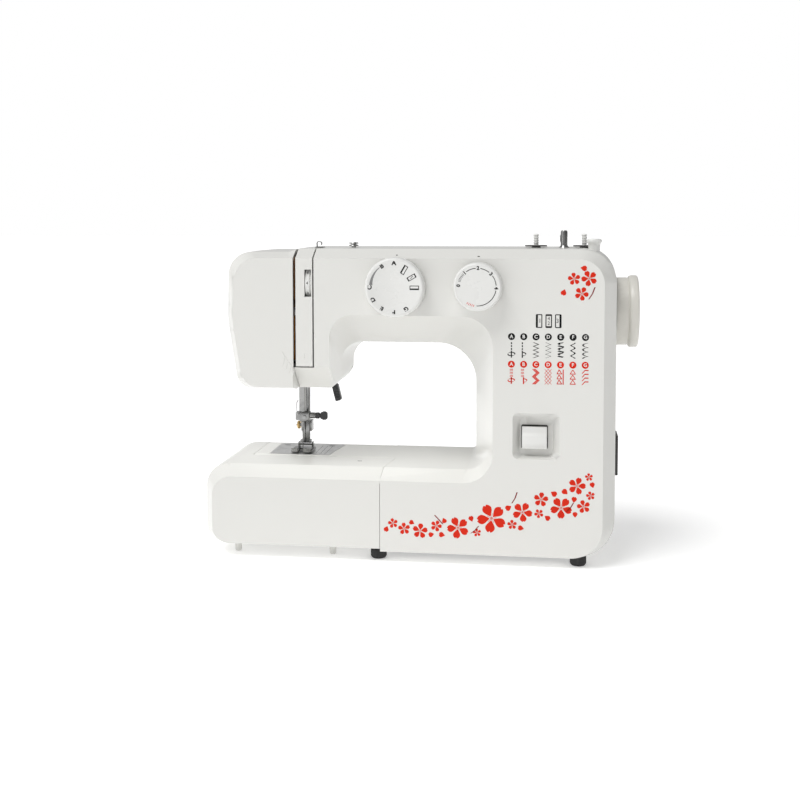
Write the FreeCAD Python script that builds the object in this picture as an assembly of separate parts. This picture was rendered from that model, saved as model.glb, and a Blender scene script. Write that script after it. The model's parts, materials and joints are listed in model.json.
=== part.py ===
import FreeCAD, Part
import math
import os

# Domestic free-arm sewing machine, in millimetres.
# Drawing frame: X to the right, Y from the front face backwards, Z up from the underside of the base.
# export_all moves everything so that the origin is the bottom centre of the whole machine.

V = FreeCAD.Vector
X_AXIS, Y_AXIS, Z_AXIS = V(1, 0, 0), V(0, 1, 0), V(0, 0, 1)

# casing
WALL = 2.5                # thickness of the moulded shells
PART_Y = 58.0             # where the front and rear shells meet
GAP = 0.4                 # clearance between bodies that move apart
SLOT1_X = (-111.6, -109.0)    # thread slot between face cover and thread panel
SLOT2_X = (-93.7, -92.4)      # thread slot between thread panel and front cover
STRIP_BOTTOM = 171.0      # lower end of the thread panel
BED_TOP = 78.0            # sewing surface
BASE_LEFT = -32.6         # left end of the base, where the extension table starts
PLATE_X = (-150.0, -84.5)     # needle plate
PLATE_Y = (57.7, 108.7)
PLATE_SLANT = 6.8             # how far the front right corner stands in
ARM_X = (-164.0, BASE_LEFT)   # free arm
ARM_Y = (53.0, 114.0)
ARM_BOTTOM = 11.0
TABLE_LEFT = -198.0
WEDGE_TIP_X = -26.3       # where the table's seam meets the free arm
REAR_Y = 124.0

# shafts and bars
SHAFT_Y, SHAFT_Z, SHAFT_R = 62.0, 219.0, 5.0
LOWER_Y, LOWER_Z, LOWER_R = 78.0, 30.0, 4.0
SHAFT_BEARINGS = (-84, 66, 146)
LOWER_BEARINGS = (-60, 70)
MOTOR_Y, MOTOR_Z = 46.0, 44.0
NEEDLE_X, NEEDLE_Y, BAR_R = -120.3, 73.0, 3.5
PRESSER_Y = 84.5
RUNNING = 0.05            # radial clearance of a running fit
LEVER_X = -110.3          # middle plane of the take-up lever
LIFTER_PIVOT = (-107.5, 168.0)   # X, Z
LEVER_PIVOT = (50.0, 186.0)   # Y, Z
HOOK_Y, HOOK_Z = 80.0, 50.0      # middle of the hook
FOOT_PIVOT = (80.6, 83.4)        # Y, Z

# dials and controls
PATTERN_X, PATTERN_Z, PATTERN_R = -17.5, 243.5, 26.5
LENGTH_X, LENGTH_Z, LENGTH_R = 55.6, 244.5, 21.4
DIAL_PROUD = 14.0
REVERSE_X, REVERSE_Z, REVERSE_PIVOT_Y = 105.4, 110.0, 40.0
RECESS = (86.2, 127.8, 91.7, 132.8)   # X and Z limits of its mouth
RECESS_DEPTH = 10.0
TENSION_X, TENSION_Y, TENSION_Z, TENSION_R = -97.9, 16.0, 246.2, 15.6
WINDER_X, PIN1_X, PIN2_X, STOPPER_X, TOP_Y = 130.7, 105.0, 149.2, 157.6, 60.0
WINDER_TRAVEL = 3.5
WHEEL_HOLE_R = 32.2
BED_PART_Y = 80.0         # the seam on the bed lies further back
TOP_Z = 277.6
FACE_HINGE = (-176.6, PART_Y - 0.2)
HANDLE_X = (-46.0, 84.0)
HANDLE_Y, HANDLE_Z = 130.0, 250.0

# places of repeated small parts
FEET = [(-36.25, 16), (144.75, 16), (-12, 108), (144.75, 108)]               # X, Y of the rubber feet
FEED_SLOTS = [(-127.5, 66.0, 86.0), (-114.2, 66.0, 86.0)]                    # X, front Y, rear Y
PLATE_SCREWS = [(-142.0, 100.0), (-97.0, 100.0)]                             # X, Y on the needle plate
CASE_SCREWS = [(-150, 230), (-96, 200), (20, 204), (150, 250), (150, 40), (70, 30)]   # X, Z on the rear cover

parts = {}


def box(x0, x1, y0, y1, z0, z1):
    return Part.makeBox(x1 - x0, y1 - y0, z1 - z0, V(x0, y0, z0))


def rod_x(y, z, r, x0, x1):
    return Part.makeCylinder(r, x1 - x0, V(x0, y, z), X_AXIS)


def rod_y(x, z, r, y0, y1):
    return Part.makeCylinder(r, y1 - y0, V(x, y0, z), Y_AXIS)


def rod_z(x, y, r, z0, z1):
    return Part.makeCylinder(r, z1 - z0, V(x, y, z0), Z_AXIS)


def fuse(*shapes):
    whole = shapes[0].multiFuse(list(shapes[1:])) if len(shapes) > 1 else shapes[0]
    return whole.removeSplitter()


def group(*shapes):
    return Part.makeCompound(list(shapes))


def corner_edges(points):
    # points are (vector, radius); each corner becomes an arc of that radius
    edges = []
    count = len(points)
    starts, ends = [], []
    for i in range(count):
        corner, radius = points[i]
        before = (points[i - 1][0] - corner).normalize()
        after = (points[(i + 1) % count][0] - corner).normalize()
        if radius <= 0:
            starts.append(corner)
            ends.append(corner)
            continue
        half = before.getAngle(after) / 2
        reach = radius / math.tan(half)
        starts.append(corner + before * reach)
        ends.append(corner + after * reach)
    for i in range(count):
        corner, radius = points[i]
        if radius > 0:
            before = (points[i - 1][0] - corner).normalize()
            after = (points[(i + 1) % count][0] - corner).normalize()
            half = before.getAngle(after) / 2
            towards = (before + after).normalize()
            middle = corner + towards * (radius / math.sin(half) - radius)
            edges.append(Part.Arc(starts[i], middle, ends[i]).toShape())
        edges.append(Part.LineSegment(ends[i], starts[(i + 1) % count]).toShape())
    return edges


def rounded_wire(corners, plane, place):
    # corners are (a, b, radius) in the plane named: "xy", "xz" or "yz"
    put = {"xy": lambda a, b: V(a, b, place), "xz": lambda a, b: V(a, place, b),
           "yz": lambda a, b: V(place, a, b)}[plane]
    return Part.Wire(corner_edges([(put(a, b), r) for a, b, r in corners]))


def slab(corners, plane, low, high):
    along = {"xy": Z_AXIS, "xz": Y_AXIS, "yz": X_AXIS}[plane]
    return Part.Face(rounded_wire(corners, plane, low)).extrude(along * (high - low))


def rounded_box(x0, x1, y0, y1, z0, z1, r, plane):
    if plane == "xz":
        corners = [(x0, z0, r), (x1, z0, r), (x1, z1, r), (x0, z1, r)]
        return slab(corners, plane, y0, y1)
    if plane == "xy":
        corners = [(x0, y0, r), (x1, y0, r), (x1, y1, r), (x0, y1, r)]
        return slab(corners, plane, z0, z1)
    corners = [(y0, z0, r), (y1, z0, r), (y1, z1, r), (y0, z1, r)]
    return slab(corners, plane, x0, x1)


def turned(profile, centre, axis):
    # profile is (radius, distance along the axis) points of half a section
    side = V(0, 0, 1) if axis != Z_AXIS else V(1, 0, 0)
    points = [centre + side * r + axis * d for r, d in profile]
    wire = Part.makePolygon(points + [points[0]])
    return Part.Face(wire).revolve(centre, axis, 360)


# casing

def section(y, w, right, top, bottom, left, head_bottom, head_right, under, column, bed, radii):
    # the C-shaped outline of the machine at depth y, moved inwards by w
    r_foot, r_top, r_under, r_column, r_bed, r_head = radii
    step = 0.0 if y < 5 else 3.0
    corners = [
        (BASE_LEFT + w, bottom + w, 0),
        (right - w, bottom + w, r_foot - w),
        (right - w, top - w, r_top - w),
        (-109 + w, top - w, 0),
        (-118 + w, top - step - w, 0),
        (left + 1.2 + w, top - step - w, 22 - w),
        (left + w, 212, 110),
        (left + 9.5 + w, head_bottom + w, 15 - w),
        (head_right - w, head_bottom + w, r_head - w),
        (head_right - w, under + w, r_under + w),
        (column + w, under + w, r_column + w),
        (column + w, bed - w, r_bed + w),
        (BASE_LEFT + w, bed - w, 0),
    ]
    return rounded_wire(corners, "xz", y)


def casing(w):
    # stations from the front face to the rear face; radii: foot, top, arm underside, column, bed, head
    last = REAR_Y - w
    stations = [
        (w, w, 165.4, 268.6, 4.0, -167.3, 151.5, -78.3, 217.6, 68.7, 68.5, (28, 22, 20, 28, 27, 3.5)),
        (14, w, 176.6, 277.0, 1.0, -176.0, 148.5, -78.3, 210.0, 64.0, BED_TOP, (35, 30, 20, 30, 20, 4)),
        (PART_Y, w, 178.6, TOP_Z, 0.0, -176.4, 148.0, -79.0, 188.0, 50.0, BED_TOP,
         (36, 31, 20, 36, 6, 6)),
        (112, w, 181.2, TOP_Z, 0.0, -176.0, 146.0, -77.0, 185.0, 48.0, BED_TOP,
         (36, 31, 20, 38, 6, 14)),
        (last, w, 172.0, 269.0, 6.0, -167.0, 155.0, -83.0, 192.0, 55.0, BED_TOP - 3,
         (30, 25, 24, 36, 6, 10)),
    ]
    wires = [section(*s) for s in stations]
    lofts = [Part.makeLoft(wires[i:i + 2], True, True) for i in range(len(wires) - 1)]
    return lofts[0].multiFuse(lofts[1:])


def chin_wedge(depth):
    # the bevel under the front of the head, right of the face cover
    points = [V(-112, -1, STRIP_BOTTOM + 0.9 + depth), V(-112, 26, 147.0 + depth * 0.6),
              V(-112, 26, 120), V(-112, -1, 120)]
    return Part.Face(Part.makePolygon(points + [points[0]])).extrude(X_AXIS * 40)


def main_shell():
    outer = casing(0).cut(chin_wedge(0))
    inner = casing(WALL).cut(chin_wedge(WALL * 1.4))
    return outer, inner


def reverse_recess(outer_size):
    # tapered pocket around the reverse lever
    x0, x1, z0, z1 = RECESS
    g = outer_size
    front = rounded_wire([(x0 - g, z0 - g, 5), (x1 + g, z0 - g, 5), (x1 + g, z1 + g, 5), (x0 - g, z1 + g, 5)],
                         "xz", -0.01)
    back = rounded_wire([(x0 + 6 - g, z0 + 2 - g, 5), (x1 - 6 + g, z0 + 2 - g, 5),
                         (x1 - 6 + g, z1 - 5 + g, 5), (x0 + 6 - g, z1 - 5 + g, 5)], "xz", RECESS_DEPTH + g)
    return Part.makeLoft([front, back], True, True)


def tension_window(grow):
    return box(-100.9 - grow, -94.6 + grow, -1, 6, 234.0 - grow, 258.4 + grow)


def front_cover(shell):
    arm = shell.common(box(SLOT2_X[1], 200, -1, PART_Y, -1, 300))
    chin = shell.common(box(SLOT1_X[0] + GAP, SLOT2_X[1], -1, PART_Y, 100, STRIP_BOTTOM - 1.2))
    bed = shell.common(box(BASE_LEFT - 1, 49.0, PART_Y - 1, BED_PART_Y, -1, 90))
    cover = fuse(arm, chin, bed)
    pocket = reverse_recess(WALL).common(box(60, 150, 0, RECESS_DEPTH + WALL, 60, 160))
    cover = fuse(cover.cut(reverse_recess(0)), pocket.cut(reverse_recess(0)))
    slot = box(REVERSE_X - 4.6, REVERSE_X + 4.6, 0, 16, REVERSE_Z - 8, REVERSE_Z + 4)
    cover = cover.cut(slot)
    for x, z, r in ((PATTERN_X, PATTERN_Z, 4.6), (LENGTH_X, LENGTH_Z, 4.6)):
        cover = cover.cut(rod_y(x, z, r, -2, 10))
    cover = cover.cut(table_wedge(GAP))
    return cover.cut(Part.makeCompound(cover_holes()))


def cover_holes():
    # openings that the front and rear shells share
    x0, x1 = BASE_LEFT + 6, 138
    holes = [rod_x(SHAFT_Y, SHAFT_Z, WHEEL_HOLE_R, 170, 190), box(-129, -101, 54, 93, 140, 160)]
    holes += [rod_z(x, TOP_Y, 4.2, 268, 285) for x in (PIN1_X, PIN2_X)]
    holes.append(rounded_box(WINDER_X - 5.6, WINDER_X + 5.6 + WINDER_TRAVEL, TOP_Y - 5.6, TOP_Y + 5.6,
                             268, 285, 5, "xy"))
    holes.append(box(x0, x1, 20, 106, -1, 3.4))
    holes.append(base_plate())
    holes.append(box(BASE_LEFT - 1, BASE_LEFT + 3, ARM_Y[0] + WALL, ARM_Y[1] - WALL,
                     ARM_BOTTOM + WALL, BED_TOP - WALL))
    return holes + [winder_stopper()] + rubber_feet().Solids


def table_wedge(gap):
    # the table's top overlaps the base in a slanted wedge
    x = BASE_LEFT - GAP - 0.1
    corners = [(x, -1, 0), (BASE_LEFT + gap, 5, 0), (WEDGE_TIP_X + gap, ARM_Y[0] + gap, 0),
               (x, ARM_Y[0] + gap, 0)]
    return slab(corners, "xy", BED_TOP - 12 - gap, BED_TOP + 2)


def thread_panel(shell):
    panel = shell.common(box(SLOT1_X[1], SLOT2_X[0], -1, PART_Y, STRIP_BOTTOM, 300))
    return panel.cut(tension_window(0))


def rear_cover(shell):
    cover = shell.common(box(-200, 200, PART_Y, 140, -1, 300))
    cover = cover.cut(box(BASE_LEFT - 1, 49.0, PART_Y - 1, BED_PART_Y, -1, 90))
    cover = cover.cut(box(176, 190, 79, 107, 61, 99))
    cover = cover.cut(box(-112, -70, 104.5, 113, 140, 158))
    cover = cover.cut(Part.makeCompound(cover_holes() + screws()))
    x, y = FACE_HINGE
    ears = []
    for z in (204, 240):
        for z0 in (z - 4, z + 4.4):
            ears.append(rod_z(x, y, 1.7, z0, z0 + 3.6).fuse(box(x, x + 2, y + 0.2, y + 1.7, z0, z0 + 3.6)))
        cover = cover.cut(rod_z(x, y, 2.1, z - 0.4, z + 4.4))
    cover = fuse(cover, *ears)
    for z in (204, 240):
        cover = cover.cut(rod_z(x, y, 0.8, z - 4, z + 8))
    return cover


def face_cover(shell):
    cover = shell.common(box(-200, SLOT1_X[0], -1, PART_Y - GAP, 100, 300))
    x, y = FACE_HINGE
    for z in (204, 240):
        cover = cover.cut(rod_z(x, y, 2.1, z - 4.4, z + 8.4))
        knuckle = rod_z(x, y, 1.7, z + 0.0, z + 4.0)
        arm = box(x + 0.2, x + 3, y - 3.0, y - 0.3, z, z + 4.0)
        cover = fuse(cover, knuckle, arm).cut(rod_z(x, y, 0.8 + RUNNING, z - 1, z + 5))
    return cover


def free_arm_cover():
    x0, x1 = ARM_X
    y0, y1 = ARM_Y
    outer = rounded_box(x0, x1, y0, y1, ARM_BOTTOM, BED_TOP, 5, "yz")
    inner = rounded_box(x0 + WALL, x1 + 1, y0 + WALL, y1 - WALL, ARM_BOTTOM - 1, BED_TOP - WALL, 3, "yz")
    cover = outer.cut(inner)
    cover = cover.cut(plate_slab(0, BED_TOP - 3, BED_TOP + 1))
    cover = cover.cut(box(PLATE_X[0] + 3, PLATE_X[1] - 3, y0 - 1, y0 + 4, 16, 68))
    return cover


def extension_table(wedge_skin):
    # U-shaped hollow table: front box, left end and rear rail around the free arm
    def block(w, back):
        def ring(y, left, top, bottom, r_bottom, r_top):
            return rounded_wire([(left + w, bottom + w, r_bottom - w), (BASE_LEFT + 0.0, bottom + w, 0),
                                 (BASE_LEFT + 0.0, top - w, 0), (left + w, top - w, r_top - w)], "xz", y)
        rings = [ring(w, -188.8, 68.5, 6.5, 15, 18), ring(14, TABLE_LEFT, BED_TOP, 3.5, 17, 22),
                 ring(112, TABLE_LEFT, BED_TOP, 3.5, 17, 22), ring(back - w, -190, BED_TOP - 4, 8, 12, 18)]
        lofts = [Part.makeLoft(rings[i:i + 2], True, True) for i in range(3)]
        return lofts[0].multiFuse(lofts[1:])
    x1 = BASE_LEFT - GAP
    outer = block(0, REAR_Y)
    inner = block(WALL, REAR_Y)
    shell = outer.cut(inner)
    window = box(ARM_X[0] - GAP, 0, ARM_Y[0] - GAP, ARM_Y[1] + GAP, 7.0, BED_TOP + 1)
    shell = shell.cut(window)
    left_wall = box(ARM_X[0] - GAP - 2, ARM_X[0] - GAP, ARM_Y[0] - GAP, ARM_Y[1] + GAP, 6.0, BED_TOP - WALL)
    rear_wall = box(-190, x1, ARM_Y[1] + GAP, ARM_Y[1] + GAP + 2, 6.0, BED_TOP - WALL)
    lip = box(-170, x1, ARM_Y[0] - GAP - 2, ARM_Y[0] - GAP, BED_TOP - 9, BED_TOP - WALL)
    rib = box(-170, -167, 3, ARM_Y[0] - GAP - 2, 6, BED_TOP - WALL)
    table = fuse(shell, left_wall, rear_wall.common(outer), lip, rib.common(outer))
    # the seam runs back and to the right over the front bevel
    body = table.common(box(-210, x1, -1, 140, -1, 100))
    bridge = table.common(box(x1 - 1, BASE_LEFT, -1, ARM_Y[0] - GAP, BED_TOP - 12, 100))
    return fuse(body, bridge, wedge_skin).cut(table_feet())


def table_feet():
    return group(*[foot(x, y, 2.6, 3.2, -6.0, 4.2) for x in (-170, -80) for y in (20, 118)])


def base_plate():
    # closes the base and the free arm from below
    column = box(BASE_LEFT + 6, 138, 20, 106, 0.4, 3.4)
    arm = box(ARM_X[0] + 3, BASE_LEFT, ARM_Y[0] + 3, ARM_Y[1] - 3, ARM_BOTTOM, ARM_BOTTOM + 2)
    step = box(BASE_LEFT + 3.5, BASE_LEFT + 6, ARM_Y[0] + 4, 99, 3.4, ARM_BOTTOM + 4.5)
    tongue = box(BASE_LEFT - 8, BASE_LEFT + 6, ARM_Y[0] + 4, 99, ARM_BOTTOM + 2, ARM_BOTTOM + 4.5)
    foot_of_step = box(BASE_LEFT + 3.5, BASE_LEFT + 8, ARM_Y[0] + 4, 99, 3.4, 5)
    return fuse(column, arm, step, tongue, foot_of_step).cut(rubber_feet())




def foot(x, y, r0, r1, z0, z1):
    return turned([(0, 0), (r0, 0), (r1, 2.0), (r1, z1 - z0), (0, z1 - z0)], V(x, y, z0), Z_AXIS)


def rubber_feet():
    return group(*[foot(x, y, 6.2, 7.4, -6.0, 2.5) for x, y in FEET])


# top fittings

def spool_pin(x):
    pin = rod_z(x, TOP_Y, 2.1, 238.0, 289.0)
    ribs = [rod_z(x, TOP_Y, 2.5, 281.5 + 2.2 * i, 282.5 + 2.2 * i) for i in range(3)]
    collar = rod_z(x, TOP_Y, 4.0, 238.0, 240.0)
    cap = turned([(0, 0), (2.5, 0), (2.0, 1.4), (0, 1.6)], V(x, TOP_Y, 288.6), Z_AXIS)
    return fuse(pin, collar, cap, *ribs)


def spool_felts():
    return group(*[rod_z(x, TOP_Y, 10.5, TOP_Z + 1.0, TOP_Z + 2.2).cut(rod_z(x, TOP_Y, 3.2, 270, 290))
                   .fuse(rod_z(x, TOP_Y, 4.1, TOP_Z - 2.4, TOP_Z + 1.0).cut(rod_z(x, TOP_Y, 2.9, 270, 290)))
                   for x in (PIN1_X, PIN2_X)])


def winder_spindle():
    top = 293.5
    profile = [(0, 0), (7, 0), (7, 4), (2.2, 4), (2.2, 46.6), (5.0, 46.6), (3.1, 49.5), (3.1, 63.2),
               (2.4, top - 230), (0, top - 230)]
    body = turned(profile, V(WINDER_X, TOP_Y, 230), Z_AXIS)
    slot = box(WINDER_X - 3.2, WINDER_X - 1.6, TOP_Y - 0.6, TOP_Y + 0.6, 281, 292)
    return fuse(body.cut(slot), box(WINDER_X - 3.9, WINDER_X - 1.7, TOP_Y - 0.5, TOP_Y + 0.5, 284, 290))


def winder_carriage():
    plate = box(WINDER_X - 14, WINDER_X + 8, TOP_Y - 8, TOP_Y + 8, 240, 243)
    boss = rod_z(WINDER_X, TOP_Y, 5, 236, 247)
    return fuse(plate, boss).cut(rod_z(WINDER_X, TOP_Y, 2.2 + RUNNING, 230, 250))


def winder_stopper():
    return turned([(0, 0), (5.2, 0), (5.6, 7.2), (6.9, 8.0), (6.9, 10.4), (5.6, 11.4), (0, 11.4)],
                  V(STOPPER_X, TOP_Y - 16.5, 274.6), Z_AXIS)


def thread_guides():
    # hooked wire guide above slot 2 and the pretension stud further right
    base = box(-99, -91, 34, 46, 277.5, 278.2)
    hook = box(-98.5, -96.9, 38, 42, 278, 283.0).fuse(box(-98.5, -93.5, 38, 42, 282.0, 283.0))
    tip = box(-94.3, -93.5, 38, 42, 279.6, 282.2)
    left = fuse(base, hook, tip)
    right = turned([(0, 0), (2.0, 0), (2.0, 1.4), (4.2, 1.4), (4.6, 2.2), (2.4, 2.8), (2.4, 3.2), (4.6, 3.8),
                    (4.2, 4.6), (0, 4.6)], V(-64.5, 48, 277.5), Z_AXIS)
    return group(left, right)


def carry_handle():
    # U-shaped bail, hanging down when folded
    (x0, x1), y, z = HANDLE_X, HANDLE_Y, HANDLE_Z
    outer = slab([(x0, z - 40, 14), (x1, z - 40, 14), (x1, z + 3.4, 3), (x0, z + 3.4, 3)], "xz", y - 4, y + 4)
    inner = slab([(x0 + 9, z - 31, 8), (x1 - 9, z - 31, 8), (x1 - 9, z + 9, 0), (x0 + 9, z + 9, 0)],
                 "xz", y - 6, y + 6)
    bail = outer.cut(inner)
    return bail.cut(rod_x(y, z, 2.0 + RUNNING, x0 - 5, x1 + 5))


def handle_pins():
    pins = []
    for x, side in ((HANDLE_X[0], -1), (HANDLE_X[1], 1)):
        a, b = sorted((x - side * 9, x + side * 5))
        pins.append(rod_x(HANDLE_Y, HANDLE_Z, 2.0, a, b))
        c, d = sorted((x + side * 0.6, x + side * 5))
        pins.append(box(c, d, REAR_Y, HANDLE_Y + 2.5, HANDLE_Z - 4, HANDLE_Z + 4)
                    .cut(rod_x(HANDLE_Y, HANDLE_Z, 2.0, c - 1, d + 1)))
    left = fuse(pins[0], pins[1])
    right = fuse(pins[2], pins[3])
    return [left, right]


# needle, presser and take-up

def needle_bar():
    bar = rod_z(NEEDLE_X, NEEDLE_Y, BAR_R, 107.5, 254)
    stud = rod_x(NEEDLE_Y, 200, 2.5, NEEDLE_X - 6, NEEDLE_X + 8.3)
    collar = rod_z(NEEDLE_X, NEEDLE_Y, 5.0, 195, 205)
    return fuse(bar, stud, collar).cut(rod_z(NEEDLE_X, NEEDLE_Y, 1.05, 100, 118))


def needle_clamp():
    block = rounded_box(-126.6, -112.5, NEEDLE_Y - 6, NEEDLE_Y + 4.2, 109.5, 117, 2, "xy")
    boss = rod_x(NEEDLE_Y - 1, 113.6, 2.9, -113, -107)
    hole = rod_z(NEEDLE_X, NEEDLE_Y, BAR_R, 100, 120)
    bore = rod_x(NEEDLE_Y - 1, 113.6, 1.6, -118, -106)
    return fuse(block, boss).cut(hole).cut(bore)


def clamp_screw():
    stem = rod_x(NEEDLE_Y - 1, 113.6, 1.6, NEEDLE_X + BAR_R + 0.1, -102.5)
    head = slab([(-104, 113.6, 0), (-99.5, 108.9, 1.4), (-95.5, 111, 1.2), (-95.5, 116.2, 1.2),
                 (-99.5, 118.3, 1.4)], "xz", NEEDLE_Y - 2.4, NEEDLE_Y + 0.4)
    slot = box(-97.8, -94, NEEDLE_Y - 4, NEEDLE_Y + 2, 113.0, 114.4)
    return fuse(stem, head.cut(slot))


def needle():
    shank = rod_z(NEEDLE_X, NEEDLE_Y, 1.0, 102.5, 117.5)
    taper = Part.makeCone(0.45, 1.0, 2.5, V(NEEDLE_X, NEEDLE_Y, 100), Z_AXIS)
    blade = rod_z(NEEDLE_X, NEEDLE_Y, 0.45, 84, 100)
    point = Part.makeCone(0.05, 0.45, 4, V(NEEDLE_X, NEEDLE_Y, 80), Z_AXIS)
    return fuse(shank, taper, blade, point)


def needle_bar_frame():
    spine = box(NEEDLE_X - 17, NEEDLE_X - 11, NEEDLE_Y - 4, NEEDLE_Y + 4, 156, 262)
    arms = [box(NEEDLE_X - 12, NEEDLE_X + 5.8, NEEDLE_Y - 5.2, NEEDLE_Y + 5.2, z, z + 9) for z in (156, 240)]
    lug = rod_y(NEEDLE_X - 14, 262, 6, NEEDLE_Y - 4, NEEDLE_Y + 4)
    frame = fuse(spine, lug, *arms)
    frame = frame.cut(rod_z(NEEDLE_X, NEEDLE_Y, BAR_R + RUNNING, 150, 260))
    return frame.cut(rod_y(NEEDLE_X - 14, 262, 2.5 + RUNNING, NEEDLE_Y - 10, NEEDLE_Y + 10))


def crank_disc():
    web = rod_x(SHAFT_Y, SHAFT_Z, 18, -102, -96).cut(rod_x(SHAFT_Y, SHAFT_Z, SHAFT_R, -103, -95))
    pin = rod_x(SHAFT_Y, SHAFT_Z - 14, 3, -105.5, -102)
    return fuse(web, pin)


def connecting_rod():
    # open at the crank end, where it stands clear of the crank pin
    x0, x1 = NEEDLE_X + 6.4, NEEDLE_X + 8.2
    eye = rod_x(NEEDLE_Y, 200, 5, x0, x1)
    link = slab([(NEEDLE_Y - 4.4, 200, 2), (NEEDLE_Y + 3, 201, 2), (SHAFT_Y + 4, 226, 3),
                 (SHAFT_Y - 4, 226, 3)], "yz", x0, x1)
    return fuse(eye, link).cut(rod_x(NEEDLE_Y, 200, 2.5 + RUNNING, x0 - 1, x1 + 1))


def take_up_lever():
    y, z = LEVER_PIVOT
    arm = slab([(y - 4, z - 5, 3), (y + 5, z - 5, 3), (y + 5, z + 5, 3), (8, z + 40, 2.5), (3.6, z + 38, 2),
                (3.6, z + 31, 2)], "yz", LEVER_X - 0.75, LEVER_X + 0.75)
    hub = rod_x(y, z, 5, LEVER_X - 0.75, LEVER_X + 5)
    eye = rod_x(8.4, z + 35.5, 1.3, LEVER_X - 3, LEVER_X + 3)
    return fuse(arm, hub).cut(rod_x(y, z, 2.5 + RUNNING, LEVER_X - 3, LEVER_X + 9)).cut(eye)


def presser_bar():
    bar = rod_z(NEEDLE_X + 1.6, PRESSER_Y, 3.2, 96, 240)
    collar = rod_z(NEEDLE_X + 1.6, PRESSER_Y, 4.6, 184, 196)
    arm = box(NEEDLE_X + 1.6, -110, PRESSER_Y, 98.6, 186, 192)
    return fuse(bar, collar, arm)


def presser_spring():
    # close stand-in for the helical spring above the collar
    tube = rod_z(NEEDLE_X + 1.6, PRESSER_Y, 5.6, 203, 232)
    return tube.cut(rod_z(NEEDLE_X + 1.6, PRESSER_Y, 3.9, 200, 240))


def presser_lifter():
    # lever behind the presser bar; the ribbed grip hangs below the head
    x, z = LIFTER_PIVOT
    stem = slab([(x - 3, z + 2, 2), (x + 4, z + 2, 2), (-96.0, 148, 0), (-92.6, 138, 0), (-97.6, 136.6, 0),
                 (-101.8, 148, 0)], "xz", 107, 110.5)
    hub = rod_y(x, z, 6, 106.5, 111)
    cam = slab([(x - 12, z + 8, 2), (x, z - 6, 2), (x + 4, z + 2, 2), (x - 4, z + 12, 2)], "xz", 106.5, 110)
    grip = slab([(-98.4, 138, 1.5), (-92.6, 139.5, 1.5), (-88.7, 123.6, 1.5), (-94.4, 122.2, 1.5)],
                "xz", 105.2, 112)
    for k in range(5):
        rib = 126 + 2.6 * k
        grip = grip.cut(box(-100, -84, 104.6, 105.7, rib, rib + 1.2))
    lever = fuse(stem, hub, cam, grip)
    return lever.cut(rod_y(x, z, 2.5 + RUNNING, 100, 112))


def foot_holder():
    post = rounded_box(NEEDLE_X - 1.0, NEEDLE_X + 5.6, 78.0, 81.6, 86, 109, 1.2, "xy")
    strap = box(NEEDLE_X + 1.6 - 5, NEEDLE_X + 1.6 + 5.6, 80.6, 88.8, 96.5, 107)
    strap = strap.cut(rod_z(NEEDLE_X + 1.6, PRESSER_Y, 3.2, 90, 110))
    ankle = box(NEEDLE_X - 4, NEEDLE_X + 6.8, 78.4, 83.6, 85.0, 88)
    holder = fuse(post, strap, ankle)
    holder = holder.cut(rod_z(NEEDLE_X + 1.6, PRESSER_Y, 3.2, 96, 120))
    return holder.cut(rod_x(PRESSER_Y + 2, 101.5, 1.5, -135, NEEDLE_X + 1.6 - 3.1))


def foot_screw():
    x = NEEDLE_X + 1.6 - 3.2
    return fuse(rod_x(PRESSER_Y + 2, 101.5, 1.5, -128, x), rod_x(PRESSER_Y + 2, 101.5, 4.0, -129.5, -125.6))


def presser_foot():
    x, y = NEEDLE_X, 62.0
    outline = [(x - 9.7, y, 2), (x - 2.3, y, 1), (x - 2.3, y + 6.5, 0.6), (x + 2.3, y + 6.5, 0.6),
               (x + 2.3, y, 1), (x + 10.8, y, 2), (x + 10.8, y + 22, 2), (x - 9.7, y + 22, 2)]
    sole = slab(outline, "xy", 79.0, 80.6)
    sole = sole.cut(rounded_box(x - 4.7, x + 4.7, 71, 75, 77, 82, 1.8, "xy"))
    toes = [slab([(y, 79.6, 0), (y + 4, 79.6, 0), (y + 0.2, 83.0, 0.8), (y - 1.4, 83.4, 0)], "yz", a, b)
            for a, b in ((x - 8.7, x - 2.9), (x + 2.9, x + 9.8))]
    cheeks = [box(a, a + 1.4, 78.4, 83.6, 80.4, 85.8) for a in (x - 6.0, x + 7.4)]
    pin = rod_x(FOOT_PIVOT[0], FOOT_PIVOT[1], 0.9, x - 5.5, x + 8)
    return fuse(sole, *toes, *cheeks, pin)


# drive

def ring_x(y, z, r_out, r_in, x0, x1):
    return rod_x(y, z, r_out, x0, x1).cut(rod_x(y, z, r_in, x0 - 1, x1 + 1))


def handwheel():
    axis_at = V(177.0, SHAFT_Y, SHAFT_Z)
    rim = turned([(6, 0.6), (31.2, 0.6), (31.2, 12.0), (33.4, 13.6), (34.2, 15.5), (34.2, 18.6), (32.6, 20.6),
                  (30, 21.0), (24, 21.0), (24, 14.0), (6, 14.0)], axis_at, X_AXIS)
    hub = ring_x(SHAFT_Y, SHAFT_Z, 12, SHAFT_R, 177.6, 191.0)
    return fuse(rim, hub)


def clutch_knob():
    axis_at = V(191.4, SHAFT_Y, SHAFT_Z)
    knob = turned([(0, 0), (19, 0), (19, 4.6), (17.6, 6.0), (0, 6.0)], axis_at, X_AXIS)
    for i in range(12):
        a = math.radians(30 * i)
        knob = knob.cut(rod_x(SHAFT_Y + 19.6 * math.cos(a), SHAFT_Z + 19.6 * math.sin(a), 1.6, 191, 200))
    return knob


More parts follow.
